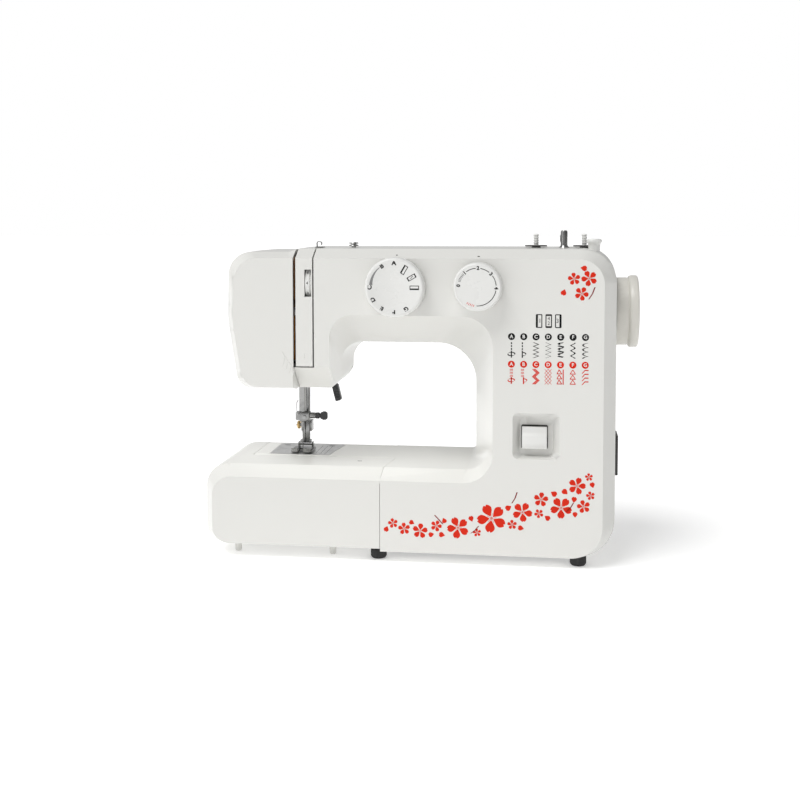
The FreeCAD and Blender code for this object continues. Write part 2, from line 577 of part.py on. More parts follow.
def toothed(y, z, r, teeth, x0, x1, bore):
    wheel = rod_x(y, z, r, x0, x1)
    width = math.pi * r / teeth
    for i in range(teeth):
        notch = box(x0 - 1, x1 + 1, y - width / 2, y + width / 2, z + r - 1.2, z + r + 1)
        notch.rotate(V(0, y, z), X_AXIS, 360.0 * i / teeth)
        wheel = wheel.cut(notch)
    return wheel.cut(rod_x(y, z, bore, x0 - 1, x1 + 1))


def shaft_pulleys():
    flange = [ring_x(SHAFT_Y, SHAFT_Z, 28.5, SHAFT_R, x, x + 1) for x in (160.4, 170)]
    big = fuse(toothed(SHAFT_Y, SHAFT_Z, 26, 36, 161, 170.5, SHAFT_R), *flange)
    small = toothed(SHAFT_Y, SHAFT_Z, 11, 16, 82, 90, SHAFT_R)
    return group(big, small)


def belt_loop(y0, z0, r0, y1, z1, r1, x0, x1, thick):
    # flat belt round two pulleys: common tangents and two arcs
    def loop(g):
        dy, dz = y1 - y0, z1 - z0
        dist = math.hypot(dy, dz)
        ahead = math.atan2(dz, dy)
        lean = math.acos((r0 - r1) / dist)
        def at(y, z, r, a):
            return V(x0, y + (r + g) * math.cos(a), z + (r + g) * math.sin(a))
        a1, a2 = ahead + lean, ahead - lean
        edges = [Part.LineSegment(at(y0, z0, r0, a2), at(y1, z1, r1, a2)).toShape(),
                 Part.Arc(at(y1, z1, r1, a2), at(y1, z1, r1, ahead), at(y1, z1, r1, a1)).toShape(),
                 Part.LineSegment(at(y1, z1, r1, a1), at(y0, z0, r0, a1)).toShape(),
                 Part.Arc(at(y0, z0, r0, a1), at(y0, z0, r0, ahead + math.pi), at(y0, z0, r0, a2)).toShape()]
        return Part.Face(Part.Wire(edges)).extrude(X_AXIS * (x1 - x0))
    return loop(thick + 0.3).cut(loop(0.3))


def motor():
    can = rod_x(MOTOR_Y, MOTOR_Z, 24, 92, 148)
    ends = [rod_x(MOTOR_Y, MOTOR_Z, 9, 86, 92), rod_x(MOTOR_Y, MOTOR_Z, 9, 148, 154)]
    lugs = [box(a, a + 3, MOTOR_Y - 20, 100, 15, 24) for a in (98, 138)]
    body = fuse(can, *ends, *lugs)
    for i in range(8):
        a = math.radians(45 * i)
        body = body.cut(rod_x(MOTOR_Y + 16 * math.cos(a), MOTOR_Z + 16 * math.sin(a), 2.5, 146, 149))
    return body.cut(rod_x(MOTOR_Y, MOTOR_Z, 3 + RUNNING, 145, 156))


def motor_pulley():
    shaft = rod_x(MOTOR_Y, MOTOR_Z, 3, 146, 171)
    return fuse(shaft, toothed(MOTOR_Y, MOTOR_Z, 7, 10, 161, 170.5, 2))


def main_frame():
    # cast plate behind the mechanism, with arms forward to the bearings
    y0, y1 = 100.0, 106.0
    plate = slab([(-36, 14, 2), (158, 14, 2), (158, 262, 2), (-141, 262, 2), (-141, 198, 2), (70, 198, 20),
                  (70, 64, 6), (-36, 64, 2)], "xz", y0, y1)
    lower = box(-158, -30, y0, y1, 16, 60)
    arms = [box(x, x + 10, SHAFT_Y - 11, y0 + 1, SHAFT_Z - 11, SHAFT_Z + 11) for x in SHAFT_BEARINGS]
    arms += [box(x, x + 8, LOWER_Y - 9, y0 + 1, LOWER_Z - 9, LOWER_Z + 9) for x in LOWER_BEARINGS]
    web = box(-128, -124, 90.8, y0 + 1, 200, 262)
    guides = [box(-126, -112, PRESSER_Y - 4.9, y0 + 1, z, z + 8) for z in (152, 234)]
    nose = rounded_box(-127, -103, 64, 91, 143.0, 152.0, 2, "xy")
    nose = nose.cut(box(NEEDLE_X - 6.6, NEEDLE_X + 7, NEEDLE_Y - 5, NEEDLE_Y + 5, 140, 155))
    drop = box(-128, -100, y0 - 1, y1, 152, 200)
    swing = box(NEEDLE_X - 20, NEEDLE_X - 8, NEEDLE_Y + 4.4, y0 + 1, 256, 268)
    lever_post = box(-104.5, -98.6, LEVER_PIVOT[0] - 5, y0 + 1, LEVER_PIVOT[1] - 5, LEVER_PIVOT[1] + 4)
    frame = fuse(plate, lower, web, nose, drop, swing, lever_post, *arms, *guides)
    holes = [rod_x(SHAFT_Y, SHAFT_Z, SHAFT_R + 3, x - 1, x + 11) for x in SHAFT_BEARINGS]
    holes += [rod_x(LOWER_Y, LOWER_Z, LOWER_R + RUNNING, x - 1, x + 9) for x in LOWER_BEARINGS]
    holes.append(rod_z(NEEDLE_X + 1.6, PRESSER_Y, 3.2 + RUNNING, 140, 250))
    return frame.cut(Part.makeCompound(holes + pivot_pins()))


def pivot_pins():
    # pivot pins that stay with the frame: take-up lever, needle bar frame, presser lifter
    lever = rod_x(LEVER_PIVOT[0], LEVER_PIVOT[1], 2.5, LEVER_X - 0.75, -98.6)
    swing = rod_y(NEEDLE_X - 14, 262, 2.5, NEEDLE_Y - 4, NEEDLE_Y + 12)
    lifter = rod_y(LIFTER_PIVOT[0], LIFTER_PIVOT[1], 2.5, 99, 111)
    return [lever, swing, lifter]


def shaft_bushes():
    return group(*[ring_x(SHAFT_Y, SHAFT_Z, SHAFT_R + 3, SHAFT_R + RUNNING, x - 1, x + 11)
                   for x in SHAFT_BEARINGS])


def lower_shaft():
    shaft = rod_x(LOWER_Y, LOWER_Z, LOWER_R, -96, 96)
    crank = fuse(rod_x(LOWER_Y, LOWER_Z, 9, -102, -96), rod_x(LOWER_Y, LOWER_Z + 5.5, 2, -106, -102))
    pulley = toothed(LOWER_Y, LOWER_Z, 11, 16, 82, 90, LOWER_R)
    return fuse(shaft, crank, pulley)


# hook and feed

def shuttle_race():
    y = HOOK_Y
    ring = rod_y(NEEDLE_X, HOOK_Z, 21, y + 8, y + 20).cut(rod_y(NEEDLE_X, HOOK_Z, 17.2, y, y + 16))
    ring = ring.cut(rod_y(NEEDLE_X, HOOK_Z, 4 + RUNNING, y, y + 21))
    return ring.cut(box(NEEDLE_X - 6, NEEDLE_X + 6, y, y + 15, HOOK_Z + 10, HOOK_Z + 30))


def shuttle_hook():
    y = HOOK_Y + 8.5
    bowl = rod_y(NEEDLE_X, HOOK_Z, 16.8, y, y + 7).cut(rod_y(NEEDLE_X, HOOK_Z, 13.5, y - 3, y + 5))
    gap = box(NEEDLE_X + 4, NEEDLE_X + 30, y - 3, y + 5, HOOK_Z + 4, HOOK_Z + 30)
    return fuse(bowl.cut(gap), rod_y(NEEDLE_X, HOOK_Z, 4, y + 5, y + 11.4))


def bobbin_case():
    y = HOOK_Y - 4
    cup = rod_y(NEEDLE_X, HOOK_Z, 13.0, y, y + 12.5).cut(rod_y(NEEDLE_X, HOOK_Z, 11.6, y + 1.5, y + 14))
    latch = box(NEEDLE_X - 3, NEEDLE_X + 9, y - 1.5, y, HOOK_Z - 2, HOOK_Z + 2)
    finger = box(NEEDLE_X - 2, NEEDLE_X + 2, y + 2, y + 9, HOOK_Z + 12, HOOK_Z + 18)
    post = rod_y(NEEDLE_X, HOOK_Z, 2.5, y, y + 12.5)
    return fuse(cup, latch, finger, post)


def bobbin():
    y = HOOK_Y - 2.1
    flanges = [rod_y(NEEDLE_X, HOOK_Z, 10.8, a, a + 1) for a in (y, y + 9.2)]
    core = rod_y(NEEDLE_X, HOOK_Z, 6, y, y + 10.2)
    return fuse(core, *flanges).cut(rod_y(NEEDLE_X, HOOK_Z, 2.5 + RUNNING, y - 3, y + 12))




def plate_slab(gap, bottom, top):
    # four-sided outline whose right edge slants back and outward
    x0, x1 = PLATE_X
    y0, y1 = PLATE_Y
    return slab([(x0 + gap, y0 + gap, 3), (x1 - PLATE_SLANT - gap, y0 + gap, 0), (x1 - gap, y1 - gap, 3),
                 (x0 + gap, y1 - gap, 3)], "xy", bottom, top)


def needle_plate():
    plate = plate_slab(0.2, BED_TOP - 1.6, BED_TOP + 0.2)
    plate = plate.cut(rounded_box(NEEDLE_X - 4.0, NEEDLE_X + 4.0, 71.5, 74.5, 70, 80, 1.4, "xy"))
    for x, ya, yb in FEED_SLOTS:
        plate = plate.cut(box(x - 1.7, x + 1.7, ya, yb, 70, 80))
    for x, y in PLATE_SCREWS:
        plate = plate.cut(rod_z(x, y, 1.6, 70, 80)).cut(rod_z(x, y, 3.1, BED_TOP - 0.6, 80))
    return plate




def screws():
    heads = []
    for x, y in PLATE_SCREWS:
        screw = fuse(rod_z(x, y, 3.0, BED_TOP - 0.6, BED_TOP + 0.1), rod_z(x, y, 1.5, 70, BED_TOP - 0.6))
        heads.append(screw.cut(box(x - 4, x + 4, y - 0.4, y + 0.4, BED_TOP - 0.3, 80)))
    for x, z in CASE_SCREWS:
        screw = fuse(rod_y(x, z, 3.2, 124.0, 125.6), rod_y(x, z, 1.6, 112, 124.0))
        heads.append(screw.cut(box(x - 4, x + 4, 125.0, 127, z - 0.4, z + 0.4)))
    return heads


def feed_dog():
    bar = box(-131, -110, 70, 84, 70.5, 73)
    rows = [box(x - 1.2, x + 1.2, 68.5, 82.0, 73, 77.4) for x, ya, yb in FEED_SLOTS]
    dog = fuse(bar, *rows)
    for i in range(9):
        y = 69.2 + 1.5 * i
        dog = dog.cut(box(-135, -105, y, y + 0.6, 76.7, 78))
    return dog.cut(rounded_box(NEEDLE_X - 4.5, NEEDLE_X + 4.5, 71, 75.5, 69, 79, 1, "xy"))


def hook_cover():
    x0, x1 = PLATE_X[0] + 3.4, PLATE_X[1] - 3.4
    flap = box(x0, x1, ARM_Y[0] + 0.2, ARM_Y[0] + 2.4, 16.4, 67.6)
    knuckle = rod_x(ARM_Y[0] + 1.3, 18, 1.3, x0, x1)
    dent = rod_y((x0 + x1) / 2, 58, 6, ARM_Y[0] - 1, ARM_Y[0] + 1.0)
    return fuse(flap.cut(dent), knuckle).cut(rod_x(ARM_Y[0] + 1.3, 18, 0.7 + RUNNING, x0 - 1, x1 + 1))


def hook_cover_pin():
    x0, x1 = PLATE_X[0] + 3.0, PLATE_X[1] - 3.0
    return rod_x(ARM_Y[0] + 1.3, 18, 0.7, x0, x1)


# dials, levers, lamp and power

def dial(x, z, r):
    face = -DIAL_PROUD
    body = turned([(0, 0), (r * 0.90, 0), (r * 0.955, 1.0), (r, 3.2), (r, DIAL_PROUD - 0.5),
                   (4.2, DIAL_PROUD - 0.5), (4.2, 24), (0, 24)], V(x, face, z), Y_AXIS)
    return body


def pattern_cams():
    discs = []
    for i in range(6):
        y = 12 + 6.0 * i
        lobe = 14.5 + 1.5 * (i % 3)
        discs.append(rod_y(PATTERN_X, PATTERN_Z, lobe, y, y + 4))
        discs.append(rod_y(PATTERN_X + 2.5, PATTERN_Z, lobe - 1, y, y + 4))
    return fuse(rod_y(PATTERN_X, PATTERN_Z, 7, 10.0, 46), *discs)


def length_dial():
    return fuse(dial(LENGTH_X, LENGTH_Z, LENGTH_R), rod_y(LENGTH_X, LENGTH_Z, 10, 9.5, 14),
                rod_y(LENGTH_X, LENGTH_Z + 8, 4, 14, 18))


def reverse_lever():
    x0, x1 = REVERSE_X - 11.0, REVERSE_X + 11.0
    z = REVERSE_Z
    face = [(3.4, z - 9.8, 1), (2.2, z + 1.5, 1.5), (4.6, z + 4.8, 2), (5.0, z + 9.8, 1), (8.0, z + 9.8, 0),
            (8.0, z - 9.8, 0)]
    paddle = slab(face, "yz", x0, x1)
    arm = box(REVERSE_X - 4, REVERSE_X + 4, 7.5, REVERSE_PIVOT_Y, z - 3, z + 3)
    hub = rod_x(REVERSE_PIVOT_Y, z, 5, REVERSE_X - 6, REVERSE_X + 6)
    return fuse(paddle, arm, hub).cut(rod_x(REVERSE_PIVOT_Y, z, 2.5 + RUNNING, REVERSE_X - 8, REVERSE_X + 8))


def reverse_bracket():
    y, z = REVERSE_PIVOT_Y, REVERSE_Z
    pin = rod_x(y, z, 2.5, REVERSE_X - 9, REVERSE_X + 9)
    ears = [box(x, x + 2.4, y - 5, 100, z - 5, z + 5) for x in (REVERSE_X - 9, REVERSE_X + 6.6)]
    return fuse(pin, *ears)


def tension_dial():
    wheel = turned([(0, 0), (TENSION_R - 0.6, 0), (TENSION_R, 0.6), (TENSION_R, 5.0), (TENSION_R - 0.6, 5.6),
                    (0, 5.6)], V(TENSION_X - 2.7, TENSION_Y, TENSION_Z), X_AXIS)
    for i in range(20):
        a = math.radians(18 * i + 9)
        wheel = wheel.cut(rod_x(TENSION_Y + (TENSION_R + 0.5) * math.cos(a),
                                TENSION_Z + (TENSION_R + 0.5) * math.sin(a), 0.9, TENSION_X - 1, TENSION_X + 1.6))
    return wheel.cut(rod_x(TENSION_Y, TENSION_Z, 2.5 + RUNNING, -110, -80))


def tension_discs():
    post = rod_x(TENSION_Y, TENSION_Z, 2.5, -108.2, -84)
    discs = [turned([(2.5, 0), (11, 0.9), (11, 1.5), (2.5, 0.7)], V(x, TENSION_Y, TENSION_Z), X_AXIS)
             for x in (-107.4, -105.4)]
    spring = ring_x(TENSION_Y, TENSION_Z, 5, 2.5, -103.6, -101.2)
    plate = box(-86, -84, 8, 52, 236, 256)
    foot_bar = box(-86, -80, 50, 100, 232.5, 256)
    return fuse(post, plate, foot_bar, *discs, spring)


def lamp():
    socket = rod_z(-150, 84, 9, 214, 236)
    bulb = turned([(0, 0), (5, 2.5), (8, 8), (9, 15), (8, 24), (6, 30), (6, 34), (0, 34)],
                  V(-150, 84, 180), Z_AXIS)
    bracket = box(-152, -130, 88, 100, 228, 232)
    return [fuse(socket, bracket).cut(bulb), bulb]


def power_socket():
    body = box(176.5, 183.0, 79.2, 106.8, 61.2, 98.8)
    body = fuse(body, box(160, 177, 82, 104, 64, 96))
    body = body.cut(box(170, 190, 84, 102, 78.0, 95.0))
    body = body.cut(rounded_box(172, 190, 84, 102, 64.5, 75, 3, "yz"))
    pins = [rod_x(y, 69.8, 1.2, 171.0, 178) for y in (88, 93, 98)]
    return fuse(body, *pins)


def power_switch():
    x = 176.0
    rocker = rounded_box(x, 182.0, 85, 101, 79.5, 93.5, 1, "yz")
    pivot = rod_y(x + 1, 86.5, 1.5, 84.1, 101.9)
    tilt = slab([(x, 78, 0), (188, 78, 0), (188, 95, 0), (183.6, 95, 0), (181.0, 86.5, 0), (183.6, 78, 0)],
                "xz", 80, 106)
    return fuse(rocker.cut(tilt), pivot)


# assembly

def build():
    outer, inner = main_shell()
    shell = outer.cut(inner)
    parts["front_cover"] = front_cover(shell)
    parts["thread_panel"] = thread_panel(shell)
    parts["rear_cover"] = rear_cover(shell)
    parts["face_cover"] = face_cover(shell)
    parts["free_arm_cover"] = free_arm_cover()
    parts["extension_table"] = extension_table(shell.common(table_wedge(0)))
    parts["table_feet"] = table_feet()
    parts["base_plate"] = base_plate()
    parts["rubber_feet"] = rubber_feet()
    parts["screws"] = group(*screws())
    parts["hook_cover"] = hook_cover()
    parts["needle_plate"] = needle_plate()
    parts["feed_dog"] = feed_dog()
    parts["shuttle_race"] = shuttle_race()
    parts["shuttle_hook"] = shuttle_hook()
    parts["bobbin_case"] = bobbin_case()
    parts["bobbin"] = bobbin()
    parts["main_frame"] = main_frame()
    parts["shaft_bushes"] = shaft_bushes()
    parts["upper_shaft"] = rod_x(SHAFT_Y, SHAFT_Z, SHAFT_R, -102, 191.0)
    parts["handwheel"] = handwheel()
    parts["clutch_knob"] = clutch_knob()
    parts["shaft_pulleys"] = shaft_pulleys()
    parts["crank_disc"] = crank_disc()
    parts["motor"] = motor()
    parts["motor_pulley"] = motor_pulley()
    parts["drive_belt"] = belt_loop(MOTOR_Y, MOTOR_Z, 7, SHAFT_Y, SHAFT_Z, 26, 161.6, 169.6, 1.4)
    parts["timing_belt"] = belt_loop(LOWER_Y, LOWER_Z, 11, SHAFT_Y, SHAFT_Z, 11, 82.4, 89.6, 1.4)
    parts["lower_shaft"] = lower_shaft()
    parts["needle_bar_frame"] = needle_bar_frame()
    parts["needle_bar"] = needle_bar()
    parts["needle_clamp"] = needle_clamp()
    parts["clamp_screw"] = clamp_screw()
    parts["needle"] = needle()
    parts["connecting_rod"] = connecting_rod()
    parts["take_up_lever"] = take_up_lever()
    parts["presser_bar"] = presser_bar()
    parts["presser_spring"] = presser_spring()
    parts["presser_lifter"] = presser_lifter()
    parts["foot_holder"] = foot_holder()
    parts["foot_screw"] = foot_screw()
    parts["presser_foot"] = presser_foot()
    parts["tension_dial"] = tension_dial()
    parts["tension_discs"] = tension_discs()
    parts["thread_guides"] = thread_guides()
    parts["spool_pin_left"] = spool_pin(PIN1_X)
    parts["spool_pin_right"] = spool_pin(PIN2_X)
    parts["spool_felts"] = spool_felts()
    parts["winder_spindle"] = winder_spindle()
    parts["winder_carriage"] = winder_carriage()
    parts["winder_stopper"] = winder_stopper()
    parts["pattern_dial"] = dial(PATTERN_X, PATTERN_Z, PATTERN_R)
    parts["pattern_cams"] = pattern_cams()
    parts["length_dial"] = length_dial()
    parts["reverse_lever"] = reverse_lever()
    parts["carry_handle"] = carry_handle()
    x, y = FACE_HINGE
    face_pins = [rod_z(x, y, 0.8, z - 4, z + 8) for z in (204, 240)]
    parts["hinge_pins"] = group(*face_pins, hook_cover_pin(), *handle_pins(), *pivot_pins(),
                                reverse_bracket())
    parts["lamp"] = group(*lamp())
    parts["power_socket"] = power_socket()
    parts["power_switch"] = power_switch()


def export_all():
    low = [1e9] * 3
    high = [-1e9] * 3
    for shape in parts.values():
        b = shape.optimalBoundingBox(False)
        low = [min(a, v) for a, v in zip(low, (b.XMin, b.YMin, b.ZMin))]
        high = [max(a, v) for a, v in zip(high, (b.XMax, b.YMax, b.ZMax))]
    shift = V(-(low[0] + high[0]) / 2, -(low[1] + high[1]) / 2, -low[2])
    print("shift", shift, "size", [round(h - l, 2) for l, h in zip(low, high)])
    os.makedirs("parts", exist_ok=True)
    for name, shape in parts.items():
        moved = shape.copy()
        moved.translate(shift)
        if not moved.isValid():
            print("INVALID", name)
        print(name, len(moved.Solids), round(moved.Volume / 1000.0, 2))
        moved.exportStep("parts/" + name + ".step")


build()
export_all()
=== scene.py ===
import json
import math
import random
import bpy
from mathutils import Matrix, Vector


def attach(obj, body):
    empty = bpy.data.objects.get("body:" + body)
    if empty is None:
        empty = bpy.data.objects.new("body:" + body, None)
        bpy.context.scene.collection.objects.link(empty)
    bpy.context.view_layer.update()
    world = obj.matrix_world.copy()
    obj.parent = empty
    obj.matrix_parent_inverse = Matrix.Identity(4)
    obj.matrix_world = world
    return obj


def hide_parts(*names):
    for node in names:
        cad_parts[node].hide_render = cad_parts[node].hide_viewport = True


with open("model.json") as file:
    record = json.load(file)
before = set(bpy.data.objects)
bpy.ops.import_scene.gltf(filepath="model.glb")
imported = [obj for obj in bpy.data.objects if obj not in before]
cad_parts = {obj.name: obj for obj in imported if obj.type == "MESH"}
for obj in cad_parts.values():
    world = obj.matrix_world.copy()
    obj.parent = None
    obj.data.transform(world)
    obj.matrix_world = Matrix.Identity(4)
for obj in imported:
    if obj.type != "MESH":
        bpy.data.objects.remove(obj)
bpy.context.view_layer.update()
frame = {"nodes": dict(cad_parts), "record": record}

mm = 0.001
bpy.context.scene.view_settings.view_transform = "Standard"
print("frame loaded:", len(frame["nodes"]), "nodes")


# camera, floor and light

camera = {"place": (120.2, -998.1, 303.1), "yaw": 7.07, "pitch": 3.3, "lens": 48.09,
          "shift": (-0.025, -0.14)}
studio = {"sun": 1.68, "sunFrom": (-0.34, -0.37, 0.95), "sunSoft": 32, "air": 0.56, "dim": 0.35,
          "backdrop": 1.0,
          "strip": 2.6, "bedFill": 0.055, "floor": (0.93, 0.93, 0.93), "floorGlow": 0.32}


def addCamera():
    bpy.ops.object.camera_add(location=[v * mm for v in camera["place"]],
                              rotation=(math.radians(90 - camera["pitch"]), 0, math.radians(camera["yaw"])))
    cam = bpy.context.object
    cam.data.lens = camera["lens"]
    cam.data.sensor_width = 36
    cam.data.shift_x, cam.data.shift_y = camera["shift"]
    cam.data.clip_start = 0.01
    cam.data.clip_end = 60
    bpy.context.scene.camera = cam


def addStudio():
    bpy.ops.object.light_add(type="SUN", location=(-1, -1, 2))
    sun = bpy.context.object
    sun.name = "windowLight"
    sun.data.energy = studio["sun"]
    sun.data.angle = math.radians(studio["sunSoft"])
    sun.rotation_euler = Vector(studio["sunFrom"]).to_track_quat("Z", "Y").to_euler()
    bpy.ops.object.light_add(type="AREA", location=(-1.3, -0.9, 1.2))
    strip = bpy.context.object
    strip.name = "stripLight"
    strip.data.shape = "RECTANGLE"
    strip.data.size, strip.data.size_y = 0.35, 1.5
    strip.data.energy = studio["strip"]
    strip.rotation_euler = (Vector(strip.location) - Vector((0, 0, 0.15))).to_track_quat("Z", "Y").to_euler()
    bpy.ops.object.light_add(type="AREA", location=(-0.075, 0.0, 0.150))
    bed = bpy.context.object
    bed.name = "bedFill"
    bed.data.shape = "RECTANGLE"
    bed.data.size, bed.data.size_y = 0.235, 0.115
    bed.data.energy = studio["bedFill"]
    bed.visible_camera = False
    bed.visible_glossy = False
    world = bpy.data.worlds.new("softAir")
    world.use_nodes = True
    tree = world.node_tree
    sky = tree.nodes["Background"]
    # the sky dims towards the right, where the room is
    spot = tree.nodes.new("ShaderNodeTexCoord")
    split = tree.nodes.new("ShaderNodeSeparateXYZ")
    tree.links.new(spot.outputs["Generated"], split.inputs[0])
    fade = tree.nodes.new("ShaderNodeMapRange")
    fade.inputs["From Min"].default_value = -0.4
    fade.inputs["To Min"].default_value = studio["air"]
    fade.inputs["To Max"].default_value = studio["air"] * studio["dim"]
    tree.links.new(split.outputs["X"], fade.inputs["Value"])
    tree.links.new(fade.outputs["Result"], sky.inputs[1])
    sky.inputs[0].default_value = (1.0, 1.0, 1.0, 1)
    wall = tree.nodes.new("ShaderNodeBackground")
    wall.inputs[0].default_value = (1.0, 1.0, 1.0, 1)
    wall.inputs[1].default_value = studio["backdrop"]
    seen = tree.nodes.new("ShaderNodeLightPath")
    pick = tree.nodes.new("ShaderNodeMixShader")
    tree.links.new(seen.outputs["Is Camera Ray"], pick.inputs[0])
    tree.links.new(sky.outputs[0], pick.inputs[1])
    tree.links.new(wall.outputs[0], pick.inputs[2])
    tree.links.new(pick.outputs[0], tree.nodes["World Output"].inputs[0])
    bpy.context.scene.world = world
    bpy.ops.mesh.primitive_plane_add(size=60, location=(0, 0, 0))
    floor = bpy.context.object
    floor.name = "studioFloor"
    paper = bpy.data.materials.new("paleFloor")
    paper.use_nodes = True
    shader = paper.node_tree.nodes["Principled BSDF"]
    shader.inputs["Base Color"].default_value = (*studio["floor"], 1)
    shader.inputs["Roughness"].default_value = 0.7
    shader.inputs["Specular IOR Level"].default_value = 0.2
    shader.inputs["Emission Color"].default_value = (1, 1, 1, 1)
    shader.inputs["Emission Strength"].default_value = studio["floorGlow"]
    floor.data.materials.append(paper)


addCamera()
addStudio()
print("camera and studio made")


# shared surface effects, as node groups

def newGroup(name, takes, gives):
    group = bpy.data.node_groups.new(name, "ShaderNodeTree")
    for label, start in takes.items():
        socket = group.interface.new_socket(name=label, in_out="INPUT", socket_type="NodeSocketFloat")
        socket.default_value = start
    for label in gives:
        group.interface.new_socket(name=label, in_out="OUTPUT", socket_type="NodeSocketFloat")
    nodeIn = group.nodes.new("NodeGroupInput")
    nodeOut = group.nodes.new("NodeGroupOutput")
    return group, nodeIn, nodeOut


def addNode(tree, kind, **values):
    node = tree.nodes.new(kind)
    for label, value in values.items():
        setattr(node, label, value)
    return node


def addNoise(tree, spot, scale, detail=3.0, rough=0.5):
    noise = addNode(tree, "ShaderNodeTexNoise")
    tree.links.new(spot, noise.inputs["Vector"])
    if isinstance(scale, (int, float)):
        noise.inputs["Scale"].default_value = scale
    else:
        tree.links.new(scale, noise.inputs["Scale"])
    noise.inputs["Detail"].default_value = detail
    noise.inputs["Roughness"].default_value = rough
    return noise.outputs["Fac"]


def addMath(tree, how, first, second=None, third=None, clamp=False):
    node = addNode(tree, "ShaderNodeMath", operation=how, use_clamp=clamp)
    for place, value in enumerate((first, second, third)):
        if value is None:
            continue
        if isinstance(value, (int, float)):
            node.inputs[place].default_value = value
        else:
            tree.links.new(value, node.inputs[place])
    return node.outputs[0]


def addRange(tree, value, low, high, toLow, toHigh):
    node = addNode(tree, "ShaderNodeMapRange")
    tree.links.new(value, node.inputs["Value"])
    node.inputs["From Min"].default_value = low
    node.inputs["From Max"].default_value = high
    node.inputs["To Min"].default_value = toLow
    node.inputs["To Max"].default_value = toHigh
    return node.outputs["Result"]


def makeMouldedSkin():
    # fine spark texture of an injection mould, slow flow marks and finger smudges
    group, nodeIn, nodeOut = newGroup("mouldedSkin", {"Grain Scale": 1400.0, "Flow Scale": 9.0},
                                      ("Grain", "Flow", "Smudge"))
    spot = addNode(group, "ShaderNodeTexCoord").outputs["Object"]
    fine = addNoise(group, spot, nodeIn.outputs["Grain Scale"], 2.0, 0.6)
    pit = addNode(group, "ShaderNodeTexVoronoi", feature="SMOOTH_F1")
    group.links.new(spot, pit.inputs["Vector"])
    group.links.new(nodeIn.outputs["Grain Scale"], pit.inputs["Scale"])
    group.links.new(addMath(group, "MULTIPLY_ADD", fine, 0.6,
                            addMath(group, "MULTIPLY", pit.outputs["Distance"], 0.4)),
                    nodeOut.inputs["Grain"])
    slow = addNoise(group, spot, nodeIn.outputs["Flow Scale"], 4.0, 0.55)
    group.links.new(addRange(group, slow, 0.3, 0.7, 0.0, 1.0), nodeOut.inputs["Flow"])
    touch = addNoise(group, spot, 31.0, 5.0, 0.62)
    group.links.new(addRange(group, touch, 0.42, 0.72, 0.0, 1.0), nodeOut.inputs["Smudge"])
    return group


def makeBrushedLines():
    # long polishing lines along one axis, with odd deeper scratches
    group, nodeIn, nodeOut = newGroup("brushedLines", {"Along X": 12.0, "Along Y": 900.0, "Along Z": 900.0},
                                      ("Lines", "Scratch", "Cloud"))
    spot = addNode(group, "ShaderNodeTexCoord").outputs["Object"]
    stretch = addNode(group, "ShaderNodeVectorMath", operation="MULTIPLY")
    pack = addNode(group, "ShaderNodeCombineXYZ")
    for label, axis in (("Along X", 0), ("Along Y", 1), ("Along Z", 2)):
        group.links.new(nodeIn.outputs[label], pack.inputs[axis])
    group.links.new(spot, stretch.inputs[0])
    group.links.new(pack.outputs[0], stretch.inputs[1])
    group.links.new(addNoise(group, stretch.outputs[0], 1.0, 4.0, 0.7), nodeOut.inputs["Lines"])
    deep = addNoise(group, stretch.outputs[0], 0.31, 2.0, 0.5)
    group.links.new(addRange(group, deep, 0.66, 0.74, 0.0, 1.0), nodeOut.inputs["Scratch"])
    group.links.new(addRange(group, addNoise(group, spot, 60.0, 3.0, 0.5), 0.35, 0.65, 0.0, 1.0),
                    nodeOut.inputs["Cloud"])
    return group


def makeEdgeWear():
    # corners rub brighter than the flats
    group, nodeIn, nodeOut = newGroup("edgeWear", {"Reach": 0.06, "Break Scale": 220.0}, ("Worn",))
    edge = addNode(group, "ShaderNodeNewGeometry").outputs["Pointiness"]
    spot = addNode(group, "ShaderNodeTexCoord").outputs["Object"]
    rise = addMath(group, "DIVIDE", addMath(group, "SUBTRACT", edge, 0.5), nodeIn.outputs["Reach"],
                   clamp=True)
    chips = addRange(group, addNoise(group, spot, nodeIn.outputs["Break Scale"], 3.0, 0.6), 0.35, 0.6,
                     0.0, 1.0)
    group.links.new(addMath(group, "MULTIPLY", rise, chips, clamp=True), nodeOut.inputs["Worn"])
    return group


def makeSettledDust():
    # a little dust on faces that look up
    group, nodeIn, nodeOut = newGroup("settledDust", {"Amount": 0.3}, ("Dust",))
    normal = addNode(group, "ShaderNodeNewGeometry").outputs["Normal"]
    split = addNode(group, "ShaderNodeSeparateXYZ")
    group.links.new(normal, split.inputs[0])
    up = addRange(group, split.outputs["Z"], 0.6, 1.0, 0.0, 1.0)
    spot = addNode(group, "ShaderNodeTexCoord").outputs["Object"]
    specks = addRange(group, addNoise(group, spot, 520.0, 4.0, 0.7), 0.45, 0.75, 0.0, 1.0)
    group.links.new(addMath(group, "MULTIPLY", addMath(group, "MULTIPLY", up, specks),
                            nodeIn.outputs["Amount"], clamp=True), nodeOut.inputs["Dust"])
    return group


def makeCastGrain():
    # sand-cast skin, lumps with finer pits
    group, nodeIn, nodeOut = newGroup("castGrain", {"Lump Scale": 260.0}, ("Lumps", "Patch"))
    spot = addNode(group, "ShaderNodeTexCoord").outputs["Object"]
    lumps = addNoise(group, spot, nodeIn.outputs["Lump Scale"], 6.0, 0.65)
    group.links.new(lumps, nodeOut.inputs["Lumps"])
    group.links.new(addRange(group, addNoise(group, spot, 24.0, 3.0, 0.5), 0.35, 0.65, 0.0, 1.0),
                    nodeOut.inputs["Patch"])
    return group


